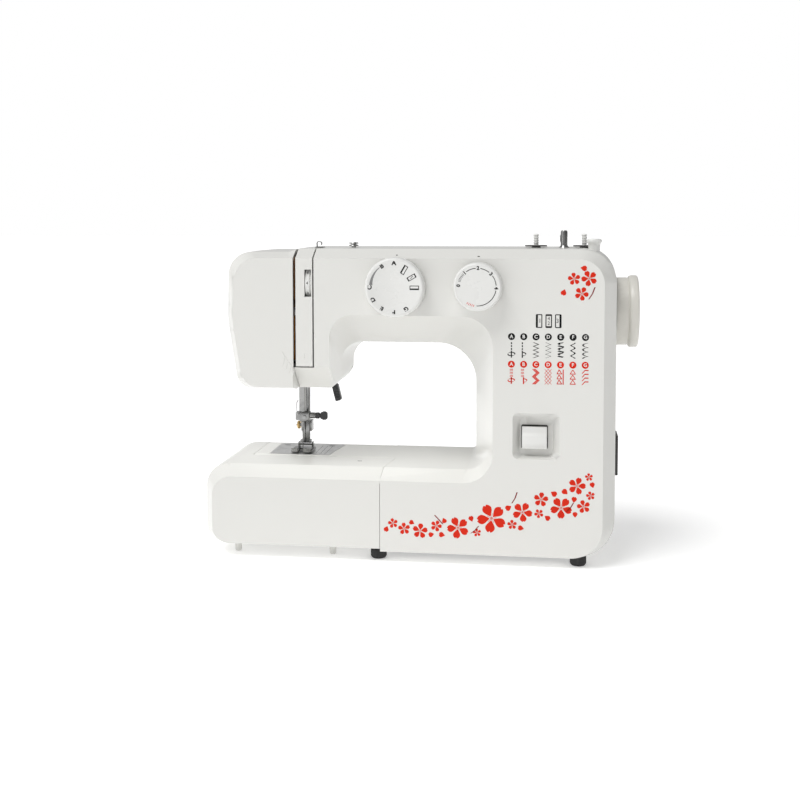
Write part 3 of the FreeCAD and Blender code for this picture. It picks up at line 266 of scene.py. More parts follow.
effects = {"mouldedSkin": makeMouldedSkin(), "brushedLines": makeBrushedLines(), "edgeWear": makeEdgeWear(),
           "settledDust": makeSettledDust(), "castGrain": makeCastGrain()}
print("surface effects made:", ", ".join(effects))


# materials

def useEffect(tree, name, **values):
    node = addNode(tree, "ShaderNodeGroup", node_tree=effects[name])
    for label, value in values.items():
        node.inputs[label.replace("_", " ")].default_value = value
    return node.outputs


def mixColour(tree, mask, colourA, colourB):
    node = addNode(tree, "ShaderNodeMix", data_type="RGBA")
    tree.links.new(mask, node.inputs[0])
    for place, colour in ((6, colourA), (7, colourB)):
        if isinstance(colour, tuple):
            node.inputs[place].default_value = (*colour, 1)
        else:
            tree.links.new(colour, node.inputs[place])
    return node.outputs[2]


def addBump(tree, height, strength, distance, under=None):
    bump = addNode(tree, "ShaderNodeBump")
    bump.inputs["Strength"].default_value = strength
    bump.inputs["Distance"].default_value = distance
    tree.links.new(height, bump.inputs["Height"])
    if under is not None:
        tree.links.new(under, bump.inputs["Normal"])
    return bump.outputs[0]


def newPaint(name):
    paint = bpy.data.materials.new(name)
    paint.use_nodes = True
    return paint, paint.node_tree, paint.node_tree.nodes["Principled BSDF"]


def mouldedPlastic(name, light, dark, gloss, grain=0.10, grainScale=1400.0, dust=0.10, coat=0.0, wear=0.0):
    paint, tree, shader = newPaint(name)
    skin = useEffect(tree, "mouldedSkin", Grain_Scale=grainScale)
    dusty = useEffect(tree, "settledDust", Amount=dust)
    colour = mixColour(tree, skin["Flow"], light, dark)
    if wear:
        worn = useEffect(tree, "edgeWear")
        colour = mixColour(tree, addMath(tree, "MULTIPLY", worn["Worn"], wear), colour,
                           tuple(min(1.0, v * 1.8 + 0.06) for v in light))
    colour = mixColour(tree, dusty["Dust"], colour, (0.62, 0.60, 0.57))
    tree.links.new(colour, shader.inputs["Base Color"])
    rough = addMath(tree, "MULTIPLY_ADD", skin["Smudge"], gloss[1] - gloss[0], gloss[0])
    rough = addMath(tree, "MULTIPLY_ADD", dusty["Dust"], 0.4, rough, clamp=True)
    tree.links.new(rough, shader.inputs["Roughness"])
    tree.links.new(addBump(tree, skin["Grain"], grain, 0.0002), shader.inputs["Normal"])
    shader.inputs["IOR"].default_value = 1.49
    shader.inputs["Coat Weight"].default_value = coat
    shader.inputs["Coat Roughness"].default_value = 0.12
    return paint


def metal(name, light, dark, gloss, along=(12.0, 900.0, 900.0), lines=0.15, wear=0.5, spots=None):
    paint, tree, shader = newPaint(name)
    shader.inputs["Metallic"].default_value = 1.0
    brushed = useEffect(tree, "brushedLines", Along_X=along[0], Along_Y=along[1], Along_Z=along[2])
    worn = useEffect(tree, "edgeWear", Reach=0.08)
    colour = mixColour(tree, brushed["Cloud"], light, dark)
    colour = mixColour(tree, addMath(tree, "MULTIPLY", brushed["Scratch"], 0.35), colour,
                       tuple(v * 0.55 for v in dark))
    colour = mixColour(tree, addMath(tree, "MULTIPLY", worn["Worn"], wear), colour,
                       tuple(min(1.0, v * 1.25) for v in light))
    if spots:
        patch = useEffect(tree, "castGrain", Lump_Scale=90.0)
        colour = mixColour(tree, addRange(tree, patch["Lumps"], 0.58, 0.68, 0.0, 0.7), colour, spots)
    tree.links.new(colour, shader.inputs["Base Color"])
    rough = addMath(tree, "MULTIPLY_ADD", brushed["Lines"], gloss[1] - gloss[0], gloss[0])
    tree.links.new(addMath(tree, "MULTIPLY_ADD", brushed["Cloud"], 0.06, rough, clamp=True),
                   shader.inputs["Roughness"])
    tree.links.new(addBump(tree, brushed["Lines"], lines, 0.00008), shader.inputs["Normal"])
    return paint


def castMetal(name, light, dark, metallic, gloss, scale=260.0, depth=0.35):
    paint, tree, shader = newPaint(name)
    cast = useEffect(tree, "castGrain", Lump_Scale=scale)
    worn = useEffect(tree, "edgeWear", Reach=0.07)
    colour = mixColour(tree, cast["Patch"], light, dark)
    colour = mixColour(tree, addMath(tree, "MULTIPLY", worn["Worn"], 0.6), colour,
                       tuple(min(1.0, v * 1.5 + 0.05) for v in light))
    tree.links.new(colour, shader.inputs["Base Color"])
    shader.inputs["Metallic"].default_value = metallic
    tree.links.new(addMath(tree, "MULTIPLY_ADD", cast["Lumps"], gloss[1] - gloss[0], gloss[0]),
                   shader.inputs["Roughness"])
    tree.links.new(addBump(tree, cast["Lumps"], depth, 0.0004), shader.inputs["Normal"])
    return paint


def rubber(name, light, dark, gloss, scale=700.0, depth=0.3, fuzz=0.0):
    paint, tree, shader = newPaint(name)
    skin = useEffect(tree, "mouldedSkin", Grain_Scale=scale, Flow_Scale=40.0)
    dusty = useEffect(tree, "settledDust", Amount=0.35)
    colour = mixColour(tree, skin["Flow"], light, dark)
    colour = mixColour(tree, dusty["Dust"], colour, (0.30, 0.29, 0.28))
    tree.links.new(colour, shader.inputs["Base Color"])
    tree.links.new(addMath(tree, "MULTIPLY_ADD", skin["Smudge"], gloss[1] - gloss[0], gloss[0]),
                   shader.inputs["Roughness"])
    tree.links.new(addBump(tree, skin["Grain"], depth, 0.0004), shader.inputs["Normal"])
    shader.inputs["Sheen Weight"].default_value = fuzz
    return paint


def clearMould(name):
    paint, tree, shader = newPaint(name)
    shader.inputs["Base Color"].default_value = (0.92, 0.94, 0.94, 1)
    shader.inputs["Transmission Weight"].default_value = 0.92
    shader.inputs["IOR"].default_value = 1.49
    skin = useEffect(tree, "mouldedSkin", Grain_Scale=300.0)
    tree.links.new(addMath(tree, "MULTIPLY_ADD", skin["Smudge"], 0.12, 0.04), shader.inputs["Roughness"])
    return paint


def printInk(name, ink, thin):
    # pad-printed ink: slightly uneven film
    paint, tree, shader = newPaint(name)
    skin = useEffect(tree, "mouldedSkin", Grain_Scale=2400.0, Flow_Scale=60.0)
    colour = mixColour(tree, skin["Flow"], ink, thin)
    tree.links.new(colour, shader.inputs["Base Color"])
    shader.inputs["Specular IOR Level"].default_value = 0.15
    tree.links.new(addMath(tree, "MULTIPLY_ADD", skin["Smudge"], 0.12, 0.50), shader.inputs["Roughness"])
    tree.links.new(addBump(tree, skin["Grain"], 0.08, 0.0001), shader.inputs["Normal"])
    return paint


paints = {
    "casing_white": mouldedPlastic("casingWhite", (0.735, 0.732, 0.702), (0.732, 0.729, 0.699), (0.28, 0.31),
                                   grain=0.006, dust=0.0, coat=0.2),
    "control_white": mouldedPlastic("controlWhite", (0.765, 0.765, 0.745), (0.760, 0.760, 0.740),
                                    (0.27, 0.33), grain=0.01, dust=0.0),
    "wheel_white": mouldedPlastic("wheelWhite", (0.665, 0.650, 0.600), (0.655, 0.640, 0.590),
                                  (0.28, 0.38), grain=0.06),
    "rubber_black": rubber("rubberBlack", (0.018, 0.018, 0.019), (0.028, 0.027, 0.027), (0.62, 0.85)),
    "grip_black": mouldedPlastic("gripBlack", (0.020, 0.020, 0.021), (0.030, 0.030, 0.030), (0.38, 0.55),
                                 grain=0.18, grainScale=900.0, wear=0.25),
    "plate_steel": metal("plateSteel", (0.80, 0.80, 0.79), (0.68, 0.68, 0.68), (0.20, 0.42)),
    "bright_chrome": metal("brightChrome", (0.34, 0.34, 0.335), (0.20, 0.20, 0.20), (0.08, 0.20),
                           along=(260.0, 260.0, 60.0), lines=0.05),
    "machined_steel": metal("machinedSteel", (0.56, 0.56, 0.56), (0.44, 0.44, 0.45), (0.22, 0.45),
                            along=(900.0, 220.0, 220.0), spots=(0.20, 0.15, 0.10)),
    "cast_frame": castMetal("castFrame", (0.44, 0.44, 0.43), (0.34, 0.34, 0.34), 0.85, (0.42, 0.68)),
    "bearing_brass": metal("bearingBrass", (0.78, 0.56, 0.26), (0.62, 0.42, 0.18), (0.22, 0.42),
                           along=(500.0, 160.0, 160.0), spots=(0.30, 0.18, 0.07)),
    "belt_rubber": rubber("beltRubber", (0.022, 0.021, 0.020), (0.040, 0.038, 0.036), (0.70, 0.90),
                          scale=1200.0),
    "motor_black": castMetal("motorBlack", (0.030, 0.030, 0.032), (0.022, 0.022, 0.023), 0.3,
                             (0.35, 0.60), 500.0),
    "dark_moulding": mouldedPlastic("darkMoulding", (0.040, 0.038, 0.036), (0.030, 0.029, 0.028),
                                    (0.40, 0.60), grain=0.25, grainScale=800.0, wear=0.2),
    "clear_plastic": clearMould("clearPlastic"),
    "felt_dark": rubber("feltDark", (0.045, 0.040, 0.042), (0.075, 0.068, 0.068), (0.85, 1.0), scale=1700.0,
                        depth=0.9, fuzz=0.4),
    "base_grey": mouldedPlastic("baseGrey", (0.40, 0.40, 0.39), (0.36, 0.36, 0.355), (0.42, 0.58), grain=0.3,
                                grainScale=900.0),
}
inks = {
    "red": printInk("redInk", (0.68, 0.024, 0.006), (0.62, 0.020, 0.005)),
    "stem": printInk("stemInk", (0.24, 0.012, 0.018), (0.19, 0.010, 0.014)),
    "black": printInk("blackInk", (0.006, 0.006, 0.006), (0.010, 0.010, 0.010)),
    "white": printInk("whiteInk", (0.80, 0.79, 0.77), (0.75, 0.74, 0.72)),
    "pink": printInk("pinkInk", (0.62, 0.22, 0.19), (0.56, 0.19, 0.17)),
    "grey": printInk("greyInk", (0.24, 0.24, 0.24), (0.20, 0.20, 0.20)),
}
slotOf = {row["node"]: row["material_slot"] for row in frame["record"]["subparts"]}
print("paints made:", len(paints) + len(inks))


# modelling helpers, everything in millimetres until it is drawn

def clearPick():
    if bpy.context.object and bpy.context.object.mode != "OBJECT":
        bpy.ops.object.mode_set(mode="OBJECT")
    bpy.ops.object.select_all(action="DESELECT")


def pickOnly(*pieces):
    clearPick()
    for piece in pieces:
        piece.select_set(True)
    bpy.context.view_layer.objects.active = pieces[0]


def pickFaces(piece, test):
    pickOnly(piece)
    bpy.ops.object.mode_set(mode="EDIT")
    bpy.ops.mesh.select_mode(type="FACE")
    bpy.ops.mesh.select_all(action="DESELECT")
    bpy.ops.object.mode_set(mode="OBJECT")
    for face in piece.data.polygons:
        face.select = bool(test(face.center / mm, face.normal))
    bpy.ops.object.mode_set(mode="EDIT")


def pickEdges(piece, test):
    pickOnly(piece)
    bpy.ops.object.mode_set(mode="EDIT")
    bpy.ops.mesh.select_mode(type="EDGE")
    bpy.ops.mesh.select_all(action="DESELECT")
    bpy.ops.object.mode_set(mode="OBJECT")
    spots = [v.co / mm for v in piece.data.vertices]
    for edge in piece.data.edges:
        edge.select = bool(test(spots[edge.vertices[0]], spots[edge.vertices[1]]))
    bpy.ops.object.mode_set(mode="EDIT")


def backToObject():
    bpy.ops.object.mode_set(mode="OBJECT")


def settle(piece):
    pickOnly(piece)
    bpy.ops.object.transform_apply(location=True, rotation=True, scale=True)


def applyModifier(piece, kind, **values):
    pickOnly(piece)
    added = piece.modifiers.new(kind, kind)
    for label, value in values.items():
        setattr(added, label, value)
    if kind == "SUBSURF":
        added.render_levels = added.levels
    bpy.ops.object.modifier_apply(modifier=added.name)


def softenEdges(piece, width, segments=2, angle=32):
    applyModifier(piece, "BEVEL", width=width * mm, segments=segments, limit_method="ANGLE",
                  angle_limit=math.radians(angle), use_clamp_overlap=False, harden_normals=False)


def cleanUp(piece, flip=True):
    pickOnly(piece)
    bpy.ops.object.mode_set(mode="EDIT")
    bpy.ops.mesh.select_all(action="SELECT")
    bpy.ops.mesh.remove_doubles(threshold=0.002 * mm)
    if flip:
        bpy.ops.mesh.normals_make_consistent(inside=False)
    backToObject()


def joinPieces(name, pieces):
    pickOnly(*pieces)
    if len(pieces) > 1:
        bpy.ops.object.join()
    pieces[0].name = name
    return pieces[0]


def copyPiece(piece):
    pickOnly(piece)
    bpy.ops.object.duplicate(linked=False)
    return bpy.context.object


def finishPiece(piece, body, slotName, *nodes, smooth=32, paint=None):
    settle(piece)
    bpy.ops.object.shade_smooth_by_angle(angle=math.radians(smooth))
    if not piece.data.materials:
        piece.data.materials.append(paint or paints[slotName])
    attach(piece, body)
    if nodes:
        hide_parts(*nodes)
    return piece


turns = {"Z": (0, 0, 0), "X": (0, math.pi / 2, 0), "front": (math.pi / 2, 0, 0),
         "back": (-math.pi / 2, 0, 0)}


def drawOut(name, path):
    # one vertex drawn out along a path of points
    clearPick()
    bpy.ops.mesh.primitive_plane_add(size=mm, location=(0, 0, 0))
    piece = bpy.context.object
    piece.name = name
    bpy.ops.object.mode_set(mode="EDIT")
    bpy.ops.mesh.select_mode(type="VERT")
    bpy.ops.mesh.select_all(action="SELECT")
    bpy.ops.mesh.merge(type="CENTER")
    bpy.ops.transform.translate(value=Vector(path[0]) * mm)
    for before, after in zip(path, path[1:]):
        bpy.ops.mesh.extrude_vertices_move(
            TRANSFORM_OT_translate={"value": (Vector(after) - Vector(before)) * mm})
    bpy.ops.mesh.select_all(action="SELECT")
    return piece


def turned(name, profile, place, along="Z", steps=64):
    # a profile of (radius, height) spun into a solid; height runs along +X, +Z, or out to the front
    piece = drawOut(name, [(r, 0, h) for r, h in profile])
    bpy.ops.mesh.spin(steps=steps, angle=math.tau, center=(0, 0, 0), axis=(0, 0, 1))
    cleanUp(piece)
    piece.rotation_euler = turns[along]
    piece.location = Vector(place) * mm
    settle(piece)
    return piece


def block(name, low, high):
    clearPick()
    bpy.ops.mesh.primitive_cube_add(size=1, location=[(a + b) / 2 * mm for a, b in zip(low, high)])
    piece = bpy.context.object
    piece.name = name
    piece.scale = [(b - a) * mm for a, b in zip(low, high)]
    settle(piece)
    return piece


def bevelEdges(piece, test, width, segments=4):
    pickEdges(piece, test)
    bpy.ops.mesh.bevel(offset=width * mm, offset_type="OFFSET", segments=segments, affect="EDGES")
    backToObject()


def outline(name, points, depth, place=(0, 0, 0), along="front"):
    # a closed outline in a flat plane, filled and drawn out to a depth
    piece = drawOut(name, [(x, y, 0) for x, y in points])
    bpy.ops.mesh.edge_face_add()
    bpy.ops.mesh.select_all(action="SELECT")
    bpy.ops.mesh.extrude_region_move(TRANSFORM_OT_translate={"value": (0, 0, depth * mm)})
    cleanUp(piece)
    piece.rotation_euler = turns[along]
    piece.location = Vector(place) * mm
    settle(piece)
    return piece


def roundedPath(corners, steps=5):
    # corners are (x, y, radius), walked once round
    points = []
    count = len(corners)
    for i, (x, y, radius) in enumerate(corners):
        here = Vector((x, y))
        back = (Vector(corners[i - 1][:2]) - here).normalized()
        on = (Vector(corners[(i + 1) % count][:2]) - here).normalized()
        if radius <= 0:
            points.append((x, y))
            continue
        half = math.acos(max(-1, min(1, back.dot(on)))) / 2
        reach = radius / math.tan(half)
        middle = here + (back + on).normalized() * (radius / math.sin(half))
        start = here + back * reach - middle
        turn = math.pi - 2 * half
        side = 1 if back.x * on.y - back.y * on.x < 0 else -1
        for k in range(steps + 1):
            a = side * turn * k / steps
            points.append((middle.x + start.x * math.cos(a) - start.y * math.sin(a),
                           middle.y + start.x * math.sin(a) + start.y * math.cos(a)))
    return points


print("helpers ready")


# moulded shells: the CAD shape, merged, smooth-shaded and given weighted normals

shells = {
    "front_cover": {"body": "machine", "edge": 0.45},
    "rear_cover": {"body": "machine", "edge": 0.45},
    "thread_panel": {"body": "machine", "edge": 0.35},
    "face_cover": {"body": "face_door", "edge": 0.45},
    "free_arm_cover": {"body": "machine", "edge": 0.4},
    "extension_table": {"body": "table", "edge": 0.5},
}


def softShell(node, body, edge):
    mesh = frame["nodes"][node].data.copy()
    mesh.materials.clear()
    piece = bpy.data.objects.new(node.replace("_", "") + "Shell", mesh)
    bpy.context.scene.collection.objects.link(piece)
    cleanUp(piece, flip=False)
    applyModifier(piece, "DECIMATE", decimate_type="DISSOLVE", angle_limit=math.radians(0.08))
    finishPiece(piece, body, slotOf[node], node, smooth=24)
    applyModifier(piece, "WEIGHTED_NORMAL", keep_sharp=True, weight=50, thresh=0.01)
    return piece


for node, sizes in shells.items():
    softShell(node, sizes["body"], sizes["edge"])
print("shells made")


# printing: thin ink pieces laid on a surface

inkDepth = 0.05


def printText(letters, size, place, turn=0.0, stand="front", bold=0.0):
    clearPick()
    bpy.ops.object.text_add(location=(0, 0, 0))
    words = bpy.context.object
    words.data.body = letters
    words.data.align_x = "CENTER"
    words.data.align_y = "CENTER"
    words.data.size = size * mm
    words.data.extrude = inkDepth * mm
    words.data.offset = bold * mm
    words.data.resolution_u = 3
    bpy.ops.object.convert(target="MESH")
    words = bpy.context.object
    words.matrix_world = (Matrix.Translation(Vector(place) * mm)
                          @ Matrix.Rotation(turns[stand][0], 4, "X")
                          @ Matrix.Rotation(math.radians(turn), 4, "Z"))
    settle(words)
    return words


def penStroke(path, pen, y=-60.0, depth=inkDepth):
    # a flat pen edge drawn along a path on the front; path and pen are (x, z)
    start = (path[0][0] - pen[0] / 2, 0, path[0][1] - pen[1] / 2)
    stroke = drawOut("stroke", [start, (start[0] + pen[0], 0, start[2] + pen[1])])
    for before, after in zip(path, path[1:]):
        step = Vector((after[0] - before[0], 0, after[1] - before[1])) * mm
        if before is path[0]:
            bpy.ops.mesh.select_all(action="SELECT")
        bpy.ops.mesh.extrude_edges_move(TRANSFORM_OT_translate={"value": step})
    bpy.ops.mesh.select_all(action="SELECT")
    bpy.ops.mesh.extrude_region_move(TRANSFORM_OT_translate={"value": (0, -2 * depth * mm, 0)})
    backToObject()
    stroke.location = (0, (y + depth) * mm, 0)
    settle(stroke)
    return stroke


def inkPiece(name, parts, body, ink):
    for part in parts:
        cleanUp(part)
    piece = joinPieces(name, parts)
    piece.data.materials.clear()
    piece.data.materials.append(inks[ink])
    settle(piece)
    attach(piece, body)
    return piece


def onCircle(centre, radius, angle):
    a = math.radians(angle)
    return centre[0] + radius * math.cos(a), centre[1] + radius * math.sin(a)


# the two front dials

dials = {
    "pattern": {"centre": (-17.5, 249.5), "radius": 26.5, "node": "pattern_dial", "body": "pattern"},
    "length": {"centre": (55.6, 250.5), "radius": 21.4, "node": "length_dial", "body": "length"},
}
dialFace = -73.8
patternMarks = {"letters": "ABCDEFG", "angles": (90, 120, 180, 210, 240, 270, 300), "size": 5.6,
                "reach": 21.6, "iconAngles": (60, 30, 0), "iconReach": 18.0}
lengthMarks = {"numbers": (("0", 176), ("1", 132), ("2", 88), ("3", 44), ("4", -3)), "size": 4.4,
               "reach": 16.4}


def dialBody(name, x, z, r):
    profile = [(0, -10), (4.2, -10), (4.2, 0.5), (r - 1.0, 0.5), (r - 0.3, 0.9), (r, 1.6), (r, 9.6)]
    profile += [(r - 1.9 * (1 - math.cos(a)), 9.6 + 4.3 * math.sin(a)) for a in (0.3, 0.6, 0.9, 1.2, 1.45)]
    profile += [(r * 0.905, 13.97), (r * 0.885, 13.94), (r * 0.875, 13.8), (0, 13.8)]
    return turned(name, profile, (x, -60, z), along="front", steps=128)


def makePatternDial():
    about = dials["pattern"]
    x, z = about["centre"]
    dial = dialBody("patternDial", x, z, about["radius"])
    finishPiece(dial, about["body"], "control_white", about["node"])
    marks = []
    for letter, angle in zip(patternMarks["letters"], patternMarks["angles"]):
        px, pz = onCircle((x, z), patternMarks["reach"], angle)
        marks.append(printText(letter, patternMarks["size"], (px, dialFace, pz), angle - 90, bold=0.24))
    for kind, angle in enumerate(patternMarks["iconAngles"]):
        marks += stitchIcon((x, z), patternMarks["iconReach"], angle, kind)
    inkPiece("patternDialMarks", marks, about["body"], "black")
    wedge = [onCircle((x, z), 21.9 + 0.2 * k / 10, 125 + 4.9 * k) for k in range(11)]
    wedge += [onCircle((x, z), 21.5 - 2.3 * k / 10, 125 + 4.9 * k) for k in range(10, -1, -1)]
    sweep = outline("sweep", [(px, pz) for px, pz in wedge], 2 * inkDepth, (0, dialFace + inkDepth, 0))
    inkPiece("patternDialSweep", [sweep], about["body"], "grey")


def stitchIcon(centre, reach, angle, kind):
    # buttonhole sign: a long frame whose legs are heavy on one side or at both ends
    ux, uz = onCircle((0, 0), 1, angle)
    vx, vz = -uz, ux

    def at(u, v):
        return centre[0] + (reach + u) * ux + v * vx, centre[1] + (reach + u) * uz + v * vz

    def bar(u0, u1, v0, v1):
        corners = [at(u0, v0), at(u1, v0), at(u1, v1), at(u0, v1)]
        return outline("bar", corners, 2 * inkDepth, (0, dialFace + inkDepth, 0))
    long, wide = 4.1, 1.9
    bars = [bar(-long, long, -wide, -wide + 0.6), bar(-long, long, wide - 0.6, wide),
            bar(-long, -long + 0.6, -wide, wide), bar(long - 0.6, long, -wide, wide)]
    if kind == 0:
        bars.append(bar(-long, long, wide - 1.3, wide))
    if kind == 1:
        bars += [bar(-long, -long + 1.0, -wide, wide), bar(long - 1.0, long, -wide, wide),
                 bar(-1.6, 0.2, -0.5, -0.1), bar(-0.4, 1.8, 0.2, 0.6)]
    if kind == 2:
        bars.append(bar(-long, long, -wide, -wide + 1.3))
    return bars


def makeLengthDial():
    about = dials["length"]
    x, z = about["centre"]
    dial = dialBody("lengthDial", x, z, about["radius"])
    finishPiece(dial, about["body"], "control_white", about["node"])
    marks = []
    for number, angle in lengthMarks["numbers"]:
        px, pz = onCircle((x, z), lengthMarks["reach"], angle)
        marks.append(printText(number, lengthMarks["size"], (px, dialFace, pz), angle - 90, bold=0.2))
    for first, last in ((126, 95), (81, 51), (37, 5), (-10, -92)):
        count = max(4, int((first - last) / 5))
        arc = [onCircle((x, z), lengthMarks["reach"] + 0.32, first + (last - first) * k / count)
               for k in range(count + 1)]
        arc += [onCircle((x, z), lengthMarks["reach"] - 0.32, first + (last - first) * k / count)
                for k in range(count, -1, -1)]
        marks.append(outline("arc", arc, 2 * inkDepth, (0, dialFace + inkDepth, 0)))
    for k in range(7):
        # close bars of the buttonhole range
        mid = 138 + 4.0 * k
        bar = [onCircle((x, z), lengthMarks["reach"] + side, mid + swing) for side, swing in
               ((1.1, 1.1), (-1.1, 1.1), (-1.1, -0.4), (1.1, -0.4))]
        marks.append(outline("bar", bar, 2 * inkDepth, (0, dialFace + inkDepth, 0)))
    inkPiece("lengthDialMarks", marks, about["body"], "black")
    reds = []
    for k in range(5):
        mid = 238 + 5.2 * k
        bar = [onCircle((x, z), lengthMarks["reach"] + side, mid + swing) for side, swing in
               ((0.9 + 0.3 * (k % 2), 1.0), (-0.9, 1.6), (-0.9, -0.2), (0.9, -0.8))]
        reds.append(outline("bar", bar, 2 * inkDepth, (0, dialFace + inkDepth, 0)))
    inkPiece("lengthDialStretchMarks", reds, about["body"], "red")


makePatternDial()
makeLengthDial()
print("dials made")


# stitch chart on the column

chart = {"left": 84.9, "pitch": 10.72, "face": -60.0, "discZ": 206.4, "redDiscZ": 182.0, "disc": 3.1,
         "top": 201.5, "bottom": 187.8, "redTop": 178.0, "redBottom": 164.6, "icons": (108.9, 117.3, 125.6),
         "iconZ": 220.4, "pen": 1.45}


def chartDisc(x, z):
    disc = outline("disc", [onCircle((x, z), chart["disc"], 15 * k) for k in range(24)], 2 * inkDepth,
                   (0, chart["face"] + inkDepth, 0))
    return disc


def downPath(x, top, bottom, swings, width, start=-1):
    count = swings * 2
    return [(x + start * (-1) ** k * width / 2, top + (bottom - top) * k / count) for k in range(count + 1)]


def blackStitches():
    top, bottom = chart["top"], chart["bottom"]
    tall = top - bottom
    strokes = []
    flat, upright = (chart["pen"], 0), (0, chart["pen"])

    def column(k):
        return chart["left"] + chart["pitch"] * k
    for k in (0, 1):
        x = column(k) - (1.2 if k else 0)
        for d in range(3):
            strokes.append(penStroke([(x, top - 2.6 * d), (x, top - 2.6 * d - 1.7)], (1.0, 0)))
        loop = [onCircle((x, 0), 3.2, a) for a in (range(0, 361, 30) if k == 0 else range(90, -91, -30))]
        loop = [(px, bottom + 3.2 + pz * 0.5) for px, pz in loop]
        strokes.append(penStroke(loop, (0.7, 0.7)))
        strokes.append(penStroke([(x, bottom + 6.2), (x, bottom)], (1.0, 0)))
    strokes.append(penStroke(downPath(column(2), top, bottom, 4, 4.6), flat))
    dashed = downPath(column(3), top, bottom, 4, 4.4)
    for a, b in zip(dashed, dashed[1:]):
        for s in (0.05, 0.42, 0.78):
            strokes.append(penStroke([(a[0] + (b[0] - a[0]) * s, a[1] + (b[1] - a[1]) * s),
                                      (a[0] + (b[0] - a[0]) * (s + 0.17),
                                       a[1] + (b[1] - a[1]) * (s + 0.17))],
                                     (1.4, 0)))
    x = column(4)
    saw = []
    for k in range(3):
        z = top - tall * k / 3
        saw += [(x + 2.2, z), (x - 2.2, z - 0.5), (x - 0.6, z - 1.6), (x - 2.2, z - 2.7), (x + 2.2, z - 3.6)]
    strokes.append(penStroke(saw, (1.3, 0.9)))
    x = column(5)
    waves = [(x - 1.9 + 3.6 * abs(math.cos(math.pi * k / 8)) ** 1.5, top - tall * k / 24) for k in range(25)]
    strokes.append(penStroke(waves, flat))
    x = column(6)
    waves = [(x + 2.2 - 4.4 * abs(math.sin(math.pi * k / 8)) ** 0.7, top - tall * k / 28) for k in range(29)]
    strokes.append(penStroke(waves, flat))
    return strokes


def redStitches():
    top, bottom = chart["redTop"], chart["redBottom"]
    tall = top - bottom
    strokes = []
    flat = (chart["pen"], 0)

    def column(k):
        return chart["left"] + chart["pitch"] * k
    for k in (0, 1):
        x = column(k)
        for side in (-1.0, 0, 1.0):
            x1 = x + side - (1.0 if k else 0)
            for d in range(3):
                strokes.append(penStroke([(x1, top - 2.7 * d), (x1, top - 2.7 * d - 1.8)], (0.5, 0)))
        loop = [onCircle((x, 0), 3.0, a) for a in (range(0, 361, 30) if k == 0 else range(90, -91, -30))]
        loop = [(px, bottom + 3.2 + pz * 0.5) for px, pz in loop]
        strokes.append(penStroke(loop, (0.7, 0.7)))
        strokes.append(penStroke([(x, bottom + 6.0), (x, bottom)], (1.1, 0)))
    for side in (-1.15, 0, 1.15):
        strokes.append(penStroke(downPath(column(2) + side, top, bottom, 2, 3.6), (0.95, 0)))
    for shift in (-1.45, 1.45):
        for side in (-1, 1):
            strokes.append(penStroke(downPath(column(3) + shift, top, bottom, 2, 2.9, side), (0.5, 0)))
    for k in range(3):
        z = top - tall * k / 3
        x = column(4)
        strokes.append(penStroke([(x - 1.2, z - 0.2), (x - 3.0, z - 4.0)], (0.7, 0)))
        strokes.append(penStroke([(x - 1.2, z - 0.2), (x + 1.2, z - 4.0)], (0.9, 0)))
        strokes.append(penStroke([(x - 3.0, z - 3.9), (x + 1.2, z - 3.9)], (0, 0.7)))
        x = column(5)
        strokes.append(penStroke([(x, z - 0.2), (x - 2.4, z - 4.0)], (0.75, 0)))
        strokes.append(penStroke([(x, z - 0.2), (x + 2.4, z - 4.0)], (0.75, 0)))
        strokes.append(penStroke([(x - 2.4, z - 3.9), (x + 2.4, z - 3.9)], (0, 0.7)))
    for k in range(4):
        z = top - tall * k / 4
        x = column(6)
        strokes.append(penStroke([(x - 0.4, z - 0.5), (x + 2.9, z - 0.5)], (0, 0.95)))
        strokes.append(penStroke([(x - 0.2, z - 0.4), (x - 2.6, z - 3.3)], (0.95, 0)))
    strokes.append(penStroke([(column(4) + 2.4, top), (column(4) + 2.4, bottom)], (0.9, 0)))
    return strokes


def chartIcons():
    strokes = []
    z = chart["iconZ"]
    for k, x in enumerate(chart["icons"]):
        wide, tall = 2.4, 5.6
        frameLine = [(x - wide, z + tall), (x + wide, z + tall), (x + wide, z - tall), (x - wide, z - tall),
                     (x - wide, z + tall)]
        for a, b in zip(frameLine, frameLine[1:]):
            pen = (0, 0.85) if a[1] == b[1] else (0.85, 0)
            strokes.append(penStroke([a, b], pen))
        if k == 0:
            strokes.append(penStroke([(x - wide + 0.7, z + tall), (x - wide + 0.7, z - tall)], (1.4, 0)))
        if k == 1:
            strokes.append(penStroke([(x - wide, z + tall - 0.5), (x + wide, z + tall - 0.5)], (0, 1.2)))
            strokes.append(penStroke([(x - wide, z - tall + 0.5), (x + wide, z - tall + 0.5)], (0, 1.2)))
        if k == 2:
            strokes.append(penStroke([(x + wide - 0.7, z + tall), (x + wide - 0.7, z - tall)], (1.4, 0)))
    face = chart["face"]
    left, middle, right = chart["icons"]
    strokes.append(printText("1", 5.2, (left + 0.7, face, z)))
    strokes.append(printText("4", 4.4, (middle, face, z + 2.0)))
    strokes.append(printText("2", 4.4, (middle, face, z - 2.0)))
    strokes.append(printText("3", 5.2, (right - 0.7, face, z)))
    return strokes


def makeChart():
    letters = "ABCDEFG"
    places = [chart["left"] + chart["pitch"] * k for k in range(7)]
    inkPiece("chartBlack", [chartDisc(x, chart["discZ"]) for x in places] + blackStitches() + chartIcons(),
             "machine", "black")
    inkPiece("chartRed", [chartDisc(x, chart["redDiscZ"]) for x in places] + redStitches(), "machine", "red")
    white = []
    for x, letter in zip(places, letters):
        for z in (chart["discZ"], chart["redDiscZ"]):
            white.append(printText(letter, 4.3, (x, chart["face"] - inkDepth, z), bold=0.10))
    inkPiece("chartLetters", white, "machine", "white")


makeChart()
print("stitch chart printed")


# blossom prints: a generic five-petal flower, strewn along a rising band

